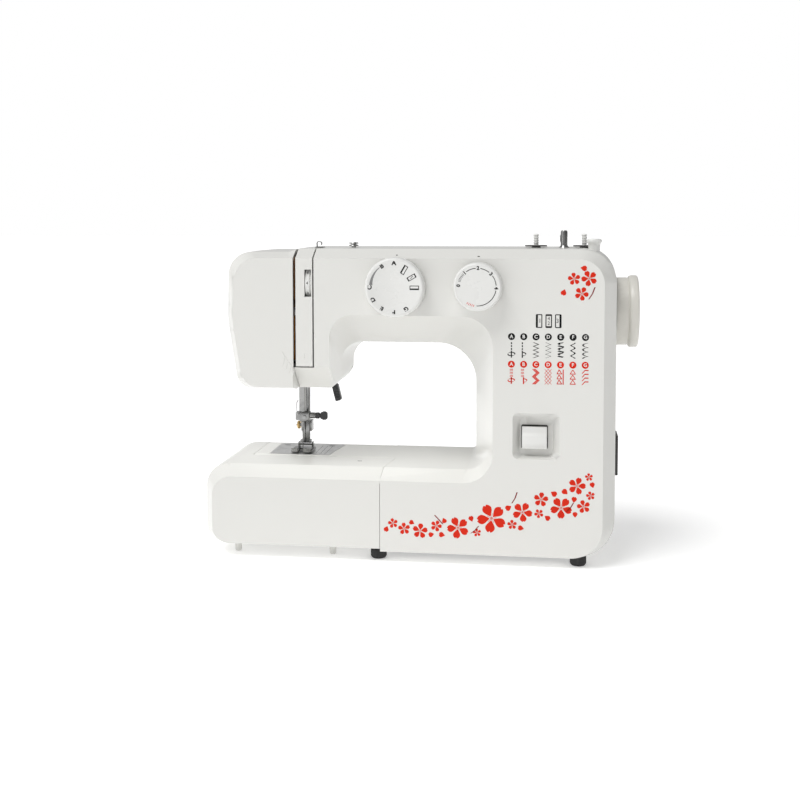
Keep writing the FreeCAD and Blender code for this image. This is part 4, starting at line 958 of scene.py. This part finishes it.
blossoms = {"band": (-27.0, 158.0), "low": 33.0, "rise": 0.00155, "turnX": 0.0, "spread": (5.0, 17.0),
            "sizes": (13.2, 10.0, 9.8, 9.0, 7.8, 7.0, 6.6, 6.0, 5.6, 5.2, 4.6, 4.4, 4.2, 4.0, 3.8, 3.6),
            "petals": 22, "petalSize": (2.5, 3.0), "seed": 23, "clear": 0.8, "face": -60.0,
            "keepOff": (98, 160, 20, 41)}
corner = {"flowers": ((139.0, 257.5, 5.6), (152.0, 258.0, 7.0), (145.6, 244.6, 6.2)),
          "petals": ((143.6, 267.4, 100), (131.4, 249.2, 200)), "twig": ((151.8, 239.8), (157.0, 250.4))}


def petalOutline():
    # from a narrow heel, widest well out, to a notched tip, unit length along +y
    right = [(0.03, 0.15), (0.085, 0.23), (0.165, 0.34), (0.245, 0.45), (0.30, 0.56), (0.325, 0.66),
             (0.31, 0.76), (0.255, 0.86), (0.175, 0.94), (0.085, 0.995)]
    left = [(-x, y) for x, y in reversed(right)]
    return right + [(0.0, 0.90)] + left


def makePetalMaster():
    points = petalOutline()
    return outline("petalMaster", points, 2 * inkDepth, (0, inkDepth, 0))


def placedCopy(master, x, z, size, turn, flat=1.0):
    piece = copyPiece(master)
    piece.matrix_world = (Matrix.Translation(Vector((x, blossoms["face"], z)) * mm)
                          @ Matrix.Rotation(math.radians(turn), 4, "Y")
                          @ Matrix.Diagonal((size * flat, 1, size, 1)))
    settle(piece)
    return piece


def makeBlossomMaster(petal):
    parts = []
    for k in range(5):
        leaf = copyPiece(petal)
        leaf.matrix_world = Matrix.Rotation(math.tau * k / 5, 4, "Y")
        settle(leaf)
        parts.append(leaf)
    return joinPieces("blossomMaster", parts)


def makeHeartMaster():
    # the thread-like stamens and the small ring in the middle of a flower
    parts = []
    for k in range(5):
        thread = outline("thread", [(-0.012, 0.10), (0.012, 0.10), (0.02, 0.34), (-0.02, 0.34)],
                         2 * inkDepth, (0, inkDepth - 0.02, 0))
        thread.matrix_world = Matrix.Rotation(math.tau * (k + 0.5) / 5, 4, "Y")
        settle(thread)
        parts.append(thread)
    rim = [onCircle((0, 0), 0.10, 30 * k) for k in range(12)]
    parts.append(outline("ring", rim, 2 * inkDepth, (0, inkDepth - 0.02, 0)))
    return joinPieces("heartMaster", parts)


def bandMiddle(x):
    return blossoms["low"] + blossoms["rise"] * (x - blossoms["turnX"]) ** 2


def strewAlongBand():
    # larger ones first, each clear of those already placed
    dice = random.Random(blossoms["seed"])
    left, right = blossoms["band"]
    placed = []
    wanted = [(size, "flower") for size in blossoms["sizes"]]
    wanted += [(dice.uniform(*blossoms["petalSize"]), "petal") for k in range(blossoms["petals"])]
    fixed = {0: 67.0, 1: 36.0, 2: 128.0, 3: 93.0}
    for order, (size, kind) in enumerate(wanted):
        for attempt in range(600):
            x = fixed.get(order, dice.uniform(left, right)) + dice.uniform(-4, 4) * (order in fixed)
            share = (x - left) / (right - left)
            reach = blossoms["spread"][0] + (blossoms["spread"][1] - blossoms["spread"][0]) * share
            z = bandMiddle(x) + dice.uniform(-1, 1) * max(0.5, reach - size * 0.55)
            x0, x1, z0, z1 = blossoms["keepOff"]
            if x0 < x + size and x - size < x1 and z0 < z + size and z - size < z1:
                continue
            if z - size < 18 or x + size > 160 or x - size < -31:
                continue
            room = all(math.hypot(x - a, z - b) > size + r + blossoms["clear"] for a, b, r, k in placed)
            if room:
                placed.append((x, z, size, kind))
                break
    return placed, dice


def makeBlossoms():
    petal = makePetalMaster()
    flower = makeBlossomMaster(petal)
    heart = makeHeartMaster()
    placed, dice = strewAlongBand()
    placed += [(x, z, size, "flower") for x, z, size in corner["flowers"]]
    reds, hearts = [], []
    for x, z, size, kind in placed:
        turn = dice.uniform(0, 360)
        if kind == "flower":
            reds.append(placedCopy(flower, x, z, size, turn))
            hearts.append(placedCopy(heart, x, z, size, turn))
        else:
            long = size * 2.3
            a = math.radians(turn)
            reds.append(placedCopy(petal, x - 0.57 * long * math.sin(a), z - 0.57 * long * math.cos(a),
                                   long, turn, 1.15))
    for x, z, turn in corner["petals"]:
        reds.append(placedCopy(petal, x, z, 6.6, turn, 1.15))
    inkPiece("blossomPrint", reds, "machine", "red")
    inkPiece("blossomHearts", hearts, "machine", "pink")
    twigs = [corner["twig"], ((17.0, 45.0), (24.5, 37.0)), ((49.5, 29.5), (56.5, 36.5)),
             ((86.0, 58.0), (90.5, 68.0)), ((134.0, 52.0), (140.0, 60.0))]
    stems = []
    for (x0, z0), (x1, z1) in twigs:
        bend = ((x0 + x1) / 2 + 0.5, (z0 + z1) / 2 - 0.4)
        stems.append(penStroke([(x0, z0), bend, (x1, z1)], (1.15, 0.15)))
    inkPiece("twigPrint", stems, "machine", "stem")
    for master in (petal, flower, heart):
        bpy.data.objects.remove(master)
    print("blossoms strewn:", len(placed))


makeBlossoms()


# small raised marks, laid down onto the curved skin

marks = {"dashes": ((-17.5, 277.5, 1.3), (55.6, 276.6, 1.9)), "arrows": ((-101.6, 186.0), (-95.2, 186.0))}


def layOnSkin(piece, skin, lift):
    applyModifier(piece, "SUBSURF", levels=1, subdivision_type="SIMPLE")
    applyModifier(piece, "SHRINKWRAP", target=bpy.data.objects[skin], wrap_method="PROJECT",
                  use_project_y=True,
                  use_negative_direction=False, use_positive_direction=True, offset=lift * mm,
                  wrap_mode="ABOVE_SURFACE")
    cleanUp(piece)
    applyModifier(piece, "SOLIDIFY", thickness=inkDepth * mm, offset=-1)
    return piece


def makeSkinMarks():
    dashes = []
    for x, z, wide in marks["dashes"]:
        dashes.append(outline("dash", [(x - wide / 2, z - 0.35), (x + wide / 2, z - 0.35),
                                       (x + wide / 2, z + 0.35),
                                       (x - wide / 2, z + 0.35)], 0.1, (0, -66, 0)))
    inkPiece("indexDashes", [layOnSkin(piece, "frontcoverShell", 0.04) for piece in dashes], "machine",
             "black")
    arrows = []
    for k, (x, z) in enumerate(marks["arrows"]):
        tip = -1 if k == 0 else 1
        points = [(-0.5, -2.6), (0.5, -2.6), (0.5, 0.8), (1.3, 0.8), (0, 2.8), (-1.3, 0.8), (-0.5, 0.8)]
        arrow = outline("arrow", [(x + a, z + b * tip) for a, b in points], 0.5, (0, -59.75, 0))
        softenEdges(arrow, 0.15, 2, 40)
        arrows.append(arrow)
    piece = joinPieces("threadArrows", arrows)
    finishPiece(piece, "machine", "casing_white")


makeSkinMarks()
print("marks laid on the skin")


# controls on the front: reverse lever and thread tension wheel

# the last entry sizes the painted shadow sheet round the lever: half width, low and high reach
reverse = {"middle": (105.4, 116.0), "wide": 22.0, "node": "reverse_lever", "body": "reverse",
           "pivotY": -20.0, "floor": -50.0, "gap": (11.9, -10.7, 10.9)}


def makeReverseLever():
    x, z = reverse["middle"]
    wide = reverse["wide"] / 2
    side = [(-56.4, z - 9.8), (-57.6, z - 6.5), (-57.75, z + 1.0), (-57.3, z + 2.6), (-55.9, z + 3.9),
            (-55.4, z + 5.2), (-55.0, z + 9.8), (-52.2, z + 9.8), (-52.2, z - 9.8)]
    paddle = drawOut("reversePaddle", [(x - wide, y, h) for y, h in side])
    bpy.ops.mesh.edge_face_add()
    bpy.ops.mesh.select_all(action="SELECT")
    bpy.ops.mesh.extrude_region_move(TRANSFORM_OT_translate={"value": (2 * wide * mm, 0, 0)})
    cleanUp(paddle)
    softenEdges(paddle, 0.7, 4, 34)
    ribs = []
    for k in range(3):
        low = z - 8.2 + 1.5 * k
        rib = block("rib", (x - wide + 2.2, -57.72, low), (x + wide - 2.2, -57.0, low + 0.6))
        softenEdges(rib, 0.18, 2, 40)
        ribs.append(rib)
    arm = block("arm", (x - 4, -52.6, z - 3), (x + 4, reverse["pivotY"], z + 3))
    softenEdges(arm, 0.5, 2, 40)
    hub = turned("hub", [(2.55, 0), (5, 0), (5, 12), (2.55, 12), (2.55, 0)], (x - 6, reverse["pivotY"], z),
                 along="X", steps=40)
    lever = joinPieces("reverseLever", [paddle, arm, hub] + ribs)
    finishPiece(lever, reverse["body"], "control_white", reverse["node"], smooth=38)


tension = {"centre": (-97.8, -44.0, 252.2), "radius": 15.6, "half": 2.8, "teeth": 40, "node": "tension_dial",
           "body": "tension", "digits": "0123456789"}


def makeTensionWheel():
    x, y, z = tension["centre"]
    r, half = tension["radius"], tension["half"]
    wheel = turned("tensionWheel", [(2.55, -half), (9, -half), (10, -half + 0.8), (r - 1.6, -half + 0.8),
                                    (r - 1.0, -half), (r - 0.25, -half), (r, -half + 0.3), (r, half - 1.7),
                                    (r - 0.5, half - 1.5), (r - 0.5, half - 0.2), (r - 0.9, half),
                                    (2.55, half), (2.55, -half)],
                   (x, y, z), along="X", steps=tension["teeth"] * 4)

    def onNotch(spot, normal):
        angle = math.degrees(math.atan2(spot.z - z, spot.y - y)) % (360 / tension["teeth"])
        far = math.hypot(spot.y - y, spot.z - z)
        return far > r - 0.7 and spot.x > x + half - 1.6 and angle < 180 / tension["teeth"]
    pickFaces(wheel, onNotch)
    bpy.ops.transform.resize(value=(1, 0.955, 0.955), center_override=Vector((x, y, z)) * mm)
    backToObject()
    finishPiece(wheel, tension["body"], "control_white", tension["node"], smooth=38)
    digits = []
    for k, digit in enumerate(tension["digits"]):
        clearPick()
        number = printText(digit, 3.3, (0, 0, 0), bold=0.06)
        number.matrix_world = (Matrix.Translation(Vector((x - 0.6, y, z)) * mm)
                               @ Matrix.Rotation(math.radians(-36 * (k - 4)), 4, "X")
                               @ Matrix.Translation((0, -(r + 0.005) * mm, 0)))
        settle(number)
        digits.append(number)
    inkPiece("tensionDigits", digits, tension["body"], "black")


def makeLeverShadow():
    # painted shadow: a dark sheet on the floor of the lever's recess, standing in for the shade in the gap
    # round the lever
    x, z = reverse["middle"]
    side, down, up = reverse["gap"]
    floor = reverse["floor"]
    gap = block("leverGap", (x - side, floor - 0.12, z + down), (x + side, floor + 0.05, z + up))
    bevelEdges(gap, lambda a, b: abs(a.y - b.y) > 0.05, 1.4, 4)
    finishPiece(gap, "machine", "dark_moulding")


makeReverseLever()
makeLeverShadow()
makeTensionWheel()
print("front controls made")


# handwheel with its clutch knob

wheel = {"at": (177.0, 2.0, 225.0), "rim": 33.2, "ribs": 6, "ribWide": 2.4, "ribReach": (13.0, 28.0),
         "ribDepth": (2.7, 4.0), "node": "handwheel", "body": "main_shaft"}
clutch = {"at": (191.4, 2.0, 225.0), "radius": 19.0, "scallops": 12, "node": "clutch_knob", "body": "clutch"}


def makeHandwheel():
    rim = wheel["rim"]
    profile = [(5.05, 0.8), (12, 0.8), (13, 2.6), (28.6, 2.6), (29.4, 0.9), (30.9, 0.7), (31.2, 1.0),
               (31.2, 10.9),
               (30.7, 11.2), (30.7, 11.9), (31.2, 12.2), (32.4, 12.8), (32.9, 13.6), (rim, 14.6),
               (rim, 19.2),
               (32.9, 20.1), (32.4, 20.6), (31.6, 20.95), (27.0, 20.95), (25.2, 20.8), (24.4, 20.2),
               (24.0, 19.0), (23.6, 14.6), (23.0, 14.0), (12.0, 14.0), (5.05, 14.0), (5.05, 0.8)]
    piece = turned("handwheelRim", profile, wheel["at"], along="X", steps=144)
    x, y, z = wheel["at"]
    half = wheel["ribWide"] / 2
    (near, far), (back, front) = wheel["ribReach"], wheel["ribDepth"]
    parts = [piece]
    for k in range(wheel["ribs"]):
        # drive ribs behind the clutch knob
        rib = block("rib", (x + front, y - half, z + near), (x + back, y + half, z + far))
        rib.matrix_world = (Matrix.Translation(Vector((0, y, z)) * mm)
                            @ Matrix.Rotation(math.tau * k / wheel["ribs"], 4, "X")
                            @ Matrix.Translation(Vector((0, -y, -z)) * mm))
        settle(rib)
        parts.append(rib)
    piece = joinPieces("handwheelRim", parts)
    cleanUp(piece)
    finishPiece(piece, wheel["body"], "wheel_white", wheel["node"], smooth=36)


def makeClutchKnob():
    r = clutch["radius"]
    x, y, z = clutch["at"]
    profile = [(0, 0), (r - 0.5, 0), (r, 0.5), (r, 3.6), (r - 0.25, 4.5), (r - 0.9, 5.3), (r - 1.9, 5.8),
               (r - 3.2, 6.0), (9.4, 6.0), (8.8, 5.7), (8.2, 5.5), (0, 5.4)]
    knob = turned("clutchKnob", profile, clutch["at"], along="X", steps=144)
    step = 360 / clutch["scallops"]
    for reach, shrink in ((6.5, 0.965), (4.2, 0.975), (2.2, 0.985)):
        def inScallop(spot, normal):
            angle = (math.degrees(math.atan2(spot.z - z, spot.y - y)) + step / 2) % step - step / 2
            return abs(angle) < reach and math.hypot(spot.y - y, spot.z - z) > r - 2.6
        pickFaces(knob, inScallop)
        bpy.ops.transform.resize(value=(1, shrink, shrink), center_override=Vector((x, y, z)) * mm)
        backToObject()
    finishPiece(knob, clutch["body"], "wheel_white", clutch["node"], smooth=36)


makeHandwheel()
makeClutchKnob()
print("handwheel made")


# small covers, feet and pressed parts that keep the CAD outline with softened edges

softened = {
    "hook_cover": {"body": "hook_door", "edge": 0.3},
    "table_feet": {"body": "table", "edge": 0.4},
    "rubber_feet": {"body": "machine", "edge": 0.6},
    "winder_carriage": {"body": "winder", "edge": 0.4},
    "base_plate": {"body": "machine", "edge": 0.25},
    "power_socket": {"body": "machine", "edge": 0.3},
    "power_switch": {"body": "rocker", "edge": 0.4},
    "main_frame": {"body": "machine", "edge": 0.6},
    "needle_bar_frame": {"body": "swing_frame", "edge": 0.4},
    "presser_lifter": {"body": "lifter", "edge": 0.1},
    "take_up_lever": {"body": "take_up", "edge": 0.2},
    "motor": {"body": "machine", "edge": 0.6},
    "bobbin_case": {"body": "machine", "edge": 0.15},
    "feed_dog": {"body": "feed", "edge": 0.08},
    "foot_holder": {"body": "presser", "edge": 0.25},
    "connecting_rod": {"body": "crank_link", "edge": 0.2},
    "hinge_pins": {"body": "machine", "edge": 0.2},
    "crank_disc": {"body": "main_shaft", "edge": 0.3},
}


def softCopy(node, body, edge):
    mesh = frame["nodes"][node].data.copy()
    mesh.materials.clear()
    piece = bpy.data.objects.new(node.replace("_", "") + "Soft", mesh)
    bpy.context.scene.collection.objects.link(piece)
    cleanUp(piece, flip=False)
    applyModifier(piece, "DECIMATE", decimate_type="DISSOLVE", angle_limit=math.radians(0.5))
    softenEdges(piece, edge, segments=2, angle=40)
    finishPiece(piece, body, slotOf[node], node, smooth=34)
    return piece


for node, sizes in softened.items():
    softCopy(node, sizes["body"], sizes["edge"])
print("small parts softened:", len(softened))


# carry handle

handle = {"x": (-46.0, 84.0), "y": 70.0, "top": 259.4, "low": 216.0, "bar": 9.0, "half": 3.9,
          "rings": 9, "ringStep": 6.0, "ringWide": 1.8, "ringInset": 1.6,
          "node": "carry_handle", "body": "handle"}


def makeCarryHandle():
    (x0, x1), y, top, low, bar = handle["x"], handle["y"], handle["top"], handle["low"], handle["bar"]
    outer = roundedPath([(x0, low, 14), (x1, low, 14), (x1, top, 2.6), (x1 - bar, top, 2.6),
                         (x1 - bar, low + bar, 7), (x0 + bar, low + bar, 7), (x0 + bar, top, 2.6),
                         (x0, top, 2.6)], 8)
    bail = outline("carryHandle", outer, 2 * handle["half"], (0, y + handle["half"], 0))
    softenEdges(bail, 2.4, 5, 50)
    grooves = []
    middle = (x0 + x1) / 2
    for k in range(handle["rings"]):
        x = middle + (k - (handle["rings"] - 1) / 2) * handle["ringStep"]
        half, inset = handle["ringWide"] / 2, handle["ringInset"]
        ring = block("ring", (x - half, y - handle["half"] - 0.05, low + inset),
                     (x + half, y - 2.0, low + bar - inset))
        softenEdges(ring, 0.4, 2, 40)
        grooves.append(ring)
    piece = joinPieces("carryHandle", [bail] + grooves)
    finishPiece(piece, handle["body"], slotOf[handle["node"]], handle["node"], smooth=40)


makeCarryHandle()
print("carry handle made")


# top fittings: spool pins, felts, bobbin winder, stopper and thread guides

spool = {"places": {"left": 105.0, "right": 149.2}, "low": 244.0, "felt": 10.3}
winder = {"at": (130.7, 0.0), "low": 236.0, "node": "winder_spindle", "body": "winder_spin"}
stopper = {"at": (157.6, -16.5, 280.6), "node": "winder_stopper"}


def makeSpoolPin(side, x):
    profile = [(0, 0), (3.6, 0), (4, 0.4), (4, 1.6), (3.6, 2.0), (2.1, 2.2), (2.1, 43.2)]
    for k in range(3):
        start = 43.4 + 2.3 * k
        profile += [(2.1, start), (2.45, start + 0.25), (2.5, start + 0.6), (2.45, start + 0.95),
                    (2.1, start + 1.2)]
    profile += [(2.1, 50.4), (2.45, 50.7), (2.5, 51.0), (2.2, 51.7), (1.5, 52.1), (0, 52.2)]
    pin = turned("spoolPin" + side.title(), profile, (x, 0, spool["low"]), steps=40)
    finishPiece(pin, "pin_" + side, "control_white", "spool_pin_" + side, smooth=40)


def makeSpoolFelts():
    felts = []
    for x in spool["places"].values():
        r = spool["felt"]
        collar = turned("collar", [(2.95, -2.3), (4.05, -2.3), (4.05, 1.1), (2.95, 1.1), (2.95, -2.3)],
                        (x, 0, 283.6), steps=48)
        collar.data.materials.append(paints["dark_moulding"])
        felt = turned("felt", [(3.25, 1.0), (r - 0.5, 1.0), (r, 1.35), (r, 1.95), (r - 0.4, 2.2),
                               (3.25, 2.2), (3.25, 1.0)], (x, 0, 283.6), steps=96)
        felt.data.materials.append(paints["felt_dark"])
        felts += [collar, felt]
    piece = joinPieces("spoolFelts", felts)
    finishPiece(piece, "machine", "felt_dark", "spool_felts", smooth=40)


def makeWinder():
    x, y = winder["at"]
    profile = [(0, 0), (6.6, 0), (7, 0.4), (7, 3.6), (6.6, 4.0), (2.2, 4.2), (2.2, 46.0), (4.6, 46.2),
               (5.0, 46.7),
               (4.9, 47.4), (4.2, 48.4), (3.3, 49.3), (3.1, 50.2), (3.1, 61.6), (2.9, 62.6),
               (2.5, 63.3), (1.6, 63.5), (0, 63.5)]
    spindle = turned("winderSpindle", profile, (x, y, winder["low"]), steps=64)
    clip = outline("clip", [(-3.15, 52.0), (-3.9, 54.0), (-3.7, 58.4), (-3.1, 60.0), (-2.6, 60.0),
                            (-2.9, 58.0), (-3.1, 54.4), (-2.6, 52.0)], 1.0, (x, y + 0.5, winder["low"]))
    softenEdges(clip, 0.15, 2, 40)
    piece = joinPieces("winderSpindle", [spindle, clip])
    finishPiece(piece, winder["body"], slotOf["winder_spindle"], winder["node"], smooth=38)


def makeStopper():
    profile = [(0, 0), (5.2, 0), (5.25, 2.8), (5.6, 6.8), (5.9, 7.3), (6.6, 7.9), (6.9, 8.4),
               (6.9, 9.8), (6.6, 10.6), (5.8, 11.2), (4.6, 11.4), (3.4, 11.2), (2.8, 10.9), (0, 10.8)]
    piece = turned("winderStopper", profile, stopper["at"], steps=72)
    finishPiece(piece, "machine", slotOf["winder_stopper"], stopper["node"], smooth=38)


def makeThreadGuides():
    base = block("base", (-99, -26, 283.5), (-91, -14, 284.2))
    bevelEdges(base, lambda a, b: abs(a.z - b.z) > 0.3, 2.0, 4)
    softenEdges(base, 0.15, 2, 40)
    path = [(-98.0, 284.0), (-98.2, 287.2), (-97.8, 288.5), (-96.6, 288.9), (-94.8, 288.8), (-93.9, 288.2),
            (-93.7, 287.0), (-94.0, 285.8)]
    hook = drawOut("hook", [(x, -20, z) for x, z in path])
    bpy.ops.mesh.select_all(action="SELECT")
    bpy.ops.mesh.extrude_region_move(TRANSFORM_OT_translate={"value": (0, 3.2 * mm, 0)})
    backToObject()
    applyModifier(hook, "SOLIDIFY", thickness=0.7 * mm, offset=0)
    softenEdges(hook, 0.15, 2, 40)
    stud = turned("stud", [(0, 0), (2.2, 0), (2.2, 1.3), (4.1, 1.4), (4.55, 1.9), (4.3, 2.3), (2.4, 2.8),
                           (2.4, 3.2), (4.3, 3.6), (4.55, 4.0), (4.2, 4.5), (1.3, 4.75), (0, 4.75)],
                  (-64.5, -12, 283.5), steps=64)
    # painted shade: a dark block on the chrome stud's top standing in for the shade in its screwdriver slot
    slot = block("slot", (-66.8, -12.35, 287.9), (-62.2, -11.65, 288.35))
    slot.data.materials.append(paints["dark_moulding"])
    stud.data.materials.append(paints["bright_chrome"])
    base.data.materials.append(paints["bright_chrome"])
    hook.data.materials.append(paints["bright_chrome"])
    piece = joinPieces("threadGuides", [stud, base, hook, slot])
    finishPiece(piece, "machine", "bright_chrome", "thread_guides", smooth=38)


for side, x in spool["places"].items():
    makeSpoolPin(side, x)
makeSpoolFelts()
makeWinder()
makeStopper()
makeThreadGuides()
print("top fittings made")


# needle area: clamp, thumbscrew, guide wire, needle bar, needle and foot screw

needle = {"x": -120.3, "y": 13.0}
clamp = {"low": 115.5, "top": 123.0, "body": "needle_unit"}


def wire(name, path, radius):
    line = bpy.data.curves.new(name, "CURVE")
    line.dimensions = "3D"
    line.bevel_depth = radius * mm
    line.bevel_resolution = 3
    line.use_fill_caps = True
    strand = line.splines.new("POLY")
    strand.points.add(len(path) - 1)
    for spot, point in zip(path, strand.points):
        point.co = (spot[0] * mm, spot[1] * mm, spot[2] * mm, 1)
    piece = bpy.data.objects.new(name, line)
    bpy.context.scene.collection.objects.link(piece)
    pickOnly(piece)
    bpy.ops.object.convert(target="MESH")
    piece = bpy.context.object
    cleanUp(piece)
    return piece


def makeNeedleClamp():
    x, y = needle["x"], needle["y"]
    low, top = clamp["low"], clamp["top"]
    body = block("clampBody", (-126.6, 7.0, low), (-112.5, 17.2, top))
    bevelEdges(body, lambda a, b: abs(a.z - b.z) > 3, 2.6, 5)
    softenEdges(body, 0.35, 3, 40)
    boss = turned("boss", [(1.65, 0), (2.6, 0), (2.9, 0.3), (2.9, 5.2), (2.5, 5.8), (1.65, 6.0), (1.65, 0)],
                  (-113, 12.0, 119.6), along="X", steps=40)
    face = turned("face", [(0, 0), (1.7, 0), (1.9, 0.2), (1.9, 1.0), (0, 1.2)], (x + 2.8, 6.6, 118.6),
                  along="front", steps=32)
    piece = joinPieces("needleClamp", [body, boss, face])
    finishPiece(piece, clamp["body"], "bright_chrome", "needle_clamp", smooth=40)
    guide = wire("needleGuide", [(x - 3.2, 7.9, top - 4.0), (x - 4.4, 7.0, top - 1.0),
                                 (x - 4.6, 6.8, top + 4.0),
                                 (x - 4.4, 7.0, top + 10.0), (x - 3.4, 8.4, top + 12.0)], 0.42)
    finishPiece(guide, clamp["body"], "machined_steel", smooth=50)


def makeNeedleBar():
    x, y = needle["x"], needle["y"]
    bar = turned("needleBar", [(0, 0), (3.0, 0), (3.5, 0.5), (3.5, 146.0), (3.0, 146.5), (0, 146.5)],
                 (x, y, 113.5), steps=64)
    finishPiece(bar, clamp["body"], "bright_chrome", "needle_bar", smooth=40)
    low = 86.0
    shaft = turned("needleShaft", [(0, 0), (0.12, 0.5), (0.35, 2.6), (0.42, 4.5), (0.45, 16.0),
                                   (0.85, 19.5), (1.0, 20.2),
                                   (1.0, 37.0), (0.8, 37.5), (0, 37.5)], (x, y, low), steps=32)
    finishPiece(shaft, clamp["body"], "bright_chrome", "needle", smooth=40)


def makeThumbscrew():
    head = drawOut("thumb", [(-103.4, 12, 118.4), (-102.0, 12, 116.6), (-99.6, 12, 115.5),
                             (-97.3, 12, 115.6),
                             (-95.6, 12, 116.8), (-95.5, 12, 119.6), (-95.6, 12, 122.3), (-97.3, 12, 123.6),
                             (-99.6, 12, 123.7), (-102.0, 12, 122.6), (-103.4, 12, 120.8)])
    bpy.ops.mesh.select_all(action="SELECT")
    bpy.ops.mesh.edge_face_add()
    bpy.ops.mesh.select_all(action="SELECT")
    bpy.ops.mesh.extrude_region_move(TRANSFORM_OT_translate={"value": (0, 2.6 * mm, 0)})
    backToObject()
    cleanUp(head)
    head.location.y = -1.3 * mm
    settle(head)
    softenEdges(head, 0.45, 3, 40)
    collar = turned("collar", [(0, 0), (2.6, 0), (3.0, 0.4), (3.0, 3.2), (2.2, 3.8), (0, 3.8)],
                    (-107.0, 12.0, 119.6), along="X", steps=40)
    shank = turned("shank", [(0, 0), (1.6, 0), (1.6, 14.0), (0, 14.0)], (-116.7, 12.0, 119.6),
                   along="X", steps=32)
    slot = block("slot", (-97.6, 10.62, 119.15), (-95.47, 11.2, 120.05))
    piece = joinPieces("clampScrew", [head, collar, shank, slot])
    finishPiece(piece, clamp["body"], "grip_black", "clamp_screw", smooth=40)


def makeFootScrew():
    head = turned("footScrewHead", [(0, 0), (0.55, 0), (0.55, 0.9), (3.4, 0.9), (3.9, 1.4), (4.0, 2.2),
                                    (3.9, 3.2),
                                    (3.4, 3.7), (0, 3.7)], (-129.5, 26.5, 107.5), along="X", steps=60)
    shank = turned("footScrewShank", [(0, 0), (1.9, 0), (1.9, 4.4), (0, 4.4)], (-126.2, 26.5, 107.5),
                   along="X", steps=32)
    slot = block("slot", (-129.62, 23.2, 107.1), (-129.2, 29.8, 107.9))
    slot.data.materials.append(paints["machined_steel"])
    head.data.materials.append(paints["bearing_brass"])
    piece = joinPieces("footScrew", [head, shank, slot])
    finishPiece(piece, "presser", "bearing_brass", "foot_screw", smooth=40)


makeNeedleClamp()
makeNeedleBar()
makeThumbscrew()
makeFootScrew()
print("needle area made")


# face cover trimmings: inner cheek, embossed ripples, and a strip with painted glints inside the thread slot

cheek = {"x": (-113.4, -111.75), "outline": ((-59.5, 174.0), (-59.5, 158.2), (-57.0, 157.3), (-53.0, 156.4),
                                            (-46.0, 155.0), (-8.0, 154.9), (-8.0, 161.0), (-30.0, 164.5))}
ripples = {"count": 4, "start": (-121.6, 190.0), "step": 3.0, "tall": 13.0, "bow": 2.2, "thick": 0.32}
bedIndex = ((-59.6, -24.2, 83.96), (-55.4, -22.8, 84.06))
glint = {"x": (-114.3, -111.35), "y": (-52.5, -51.9), "z": (182.0, 277.0)}


def makeCheek():
    x0, x1 = cheek["x"]
    wall = drawOut("faceCheek", [(x0, y, z) for y, z in cheek["outline"]])
    bpy.ops.mesh.edge_face_add()
    bpy.ops.mesh.select_all(action="SELECT")
    bpy.ops.mesh.extrude_region_move(TRANSFORM_OT_translate={"value": ((x1 - x0) * mm, 0, 0)})
    cleanUp(wall)
    softenEdges(wall, 0.15, 2, 40)
    finishPiece(wall, "face_door", "casing_white")


def makeRipples():
    rows = []
    x, z = ripples["start"]
    for k in range(ripples["count"]):
        left, top, tall = x + ripples["step"] * k, z - 4.6 * k, ripples["tall"] - 1.4 * k
        path = [(left + ripples["bow"] * math.sin(math.pi * t / 10) * (1 if t < 5 else 0.6), -60.0,
                 top - tall * t / 10)
                for t in range(11)]
        if path[-1][0] < -112.2:
            rows.append(wire("ripple", path, ripples["thick"]))
    piece = joinPieces("faceRipples", rows)
    finishPiece(piece, "face_door", "casing_white", smooth=50)


def slotBronze():
    # brass parts seen through the slot: dark brown, with orange patches that are painted glints
    paint, tree, shader = newPaint("slotBronze")
    cast = useEffect(tree, "castGrain", Lump_Scale=95.0)
    patch = addRange(tree, cast["Patch"], 0.45, 0.55, 0, 1)
    # painted glints: noise patches of orange over dark brown
    colour = mixColour(tree, patch, (0.050, 0.020, 0.008), (0.30, 0.115, 0.018))
    tree.links.new(colour, shader.inputs["Base Color"])
    shader.inputs["Metallic"].default_value = 0.6
    shader.inputs["Roughness"].default_value = 0.4
    tree.links.new(addBump(tree, cast["Lumps"], 0.15, 0.0002), shader.inputs["Normal"])
    return paint


def makeSlotStrip():
    (x0, x1), (y0, y1), (z0, z1) = glint["x"], glint["y"], glint["z"]
    lug = block("lug", (x0 + 0.5, y0 + 0.03, z1 - 8), (-106.0, y1 - 0.03, z1 - 2))
    foot = block("foot", (-106.7, -57.7, z1 - 7.9), (-106.05, y1 - 0.06, z1 - 2.1))
    strip = joinPieces("slotStrip", [block("strip", (x0, y0, z0), (x1, y1, z1)), lug, foot])
    softenEdges(strip, 0.1, 2, 40)
    bronzeAndGlints = slotBronze()
    finishPiece(strip, "machine", "bearing_brass", paint=bronzeAndGlints)


def makeBedMarks():
    # a short dark index let into the bed
    dash = block("bedIndex", *bedIndex)
    finishPiece(dash, "machine", "dark_moulding")


makeCheek()
makeRipples()
makeSlotStrip()
makeBedMarks()
print("face trimmings made")


# needle plate: seam guide lines and their distances

guides = {"lines": (-106.0, -101.0, -96.0), "y": (6.0, 40.0), "top": 84.2, "labels": ("10", "15", "20")}


def makePlateGuides():
    strokes = []
    for x, label in zip(guides["lines"], guides["labels"]):
        y0, y1 = guides["y"]
        strokes.append(block("line", (x - 0.2, y0, guides["top"] - 0.05),
                             (x + 0.2, y1, guides["top"] + 0.02)))
        strokes.append(printText(label, 2.4, (x, y0 - 3.0, guides["top"]), stand="Z"))
    inkPiece("plateGuides", strokes, "machine", "grey")


makePlateGuides()
print("plate guides cut")


# every CAD node that still shows gets its own paint

for node, shown in frame["nodes"].items():
    shown.data.materials.clear()
    shown.data.materials.append(paints[slotOf[node]])
print("nodes painted")
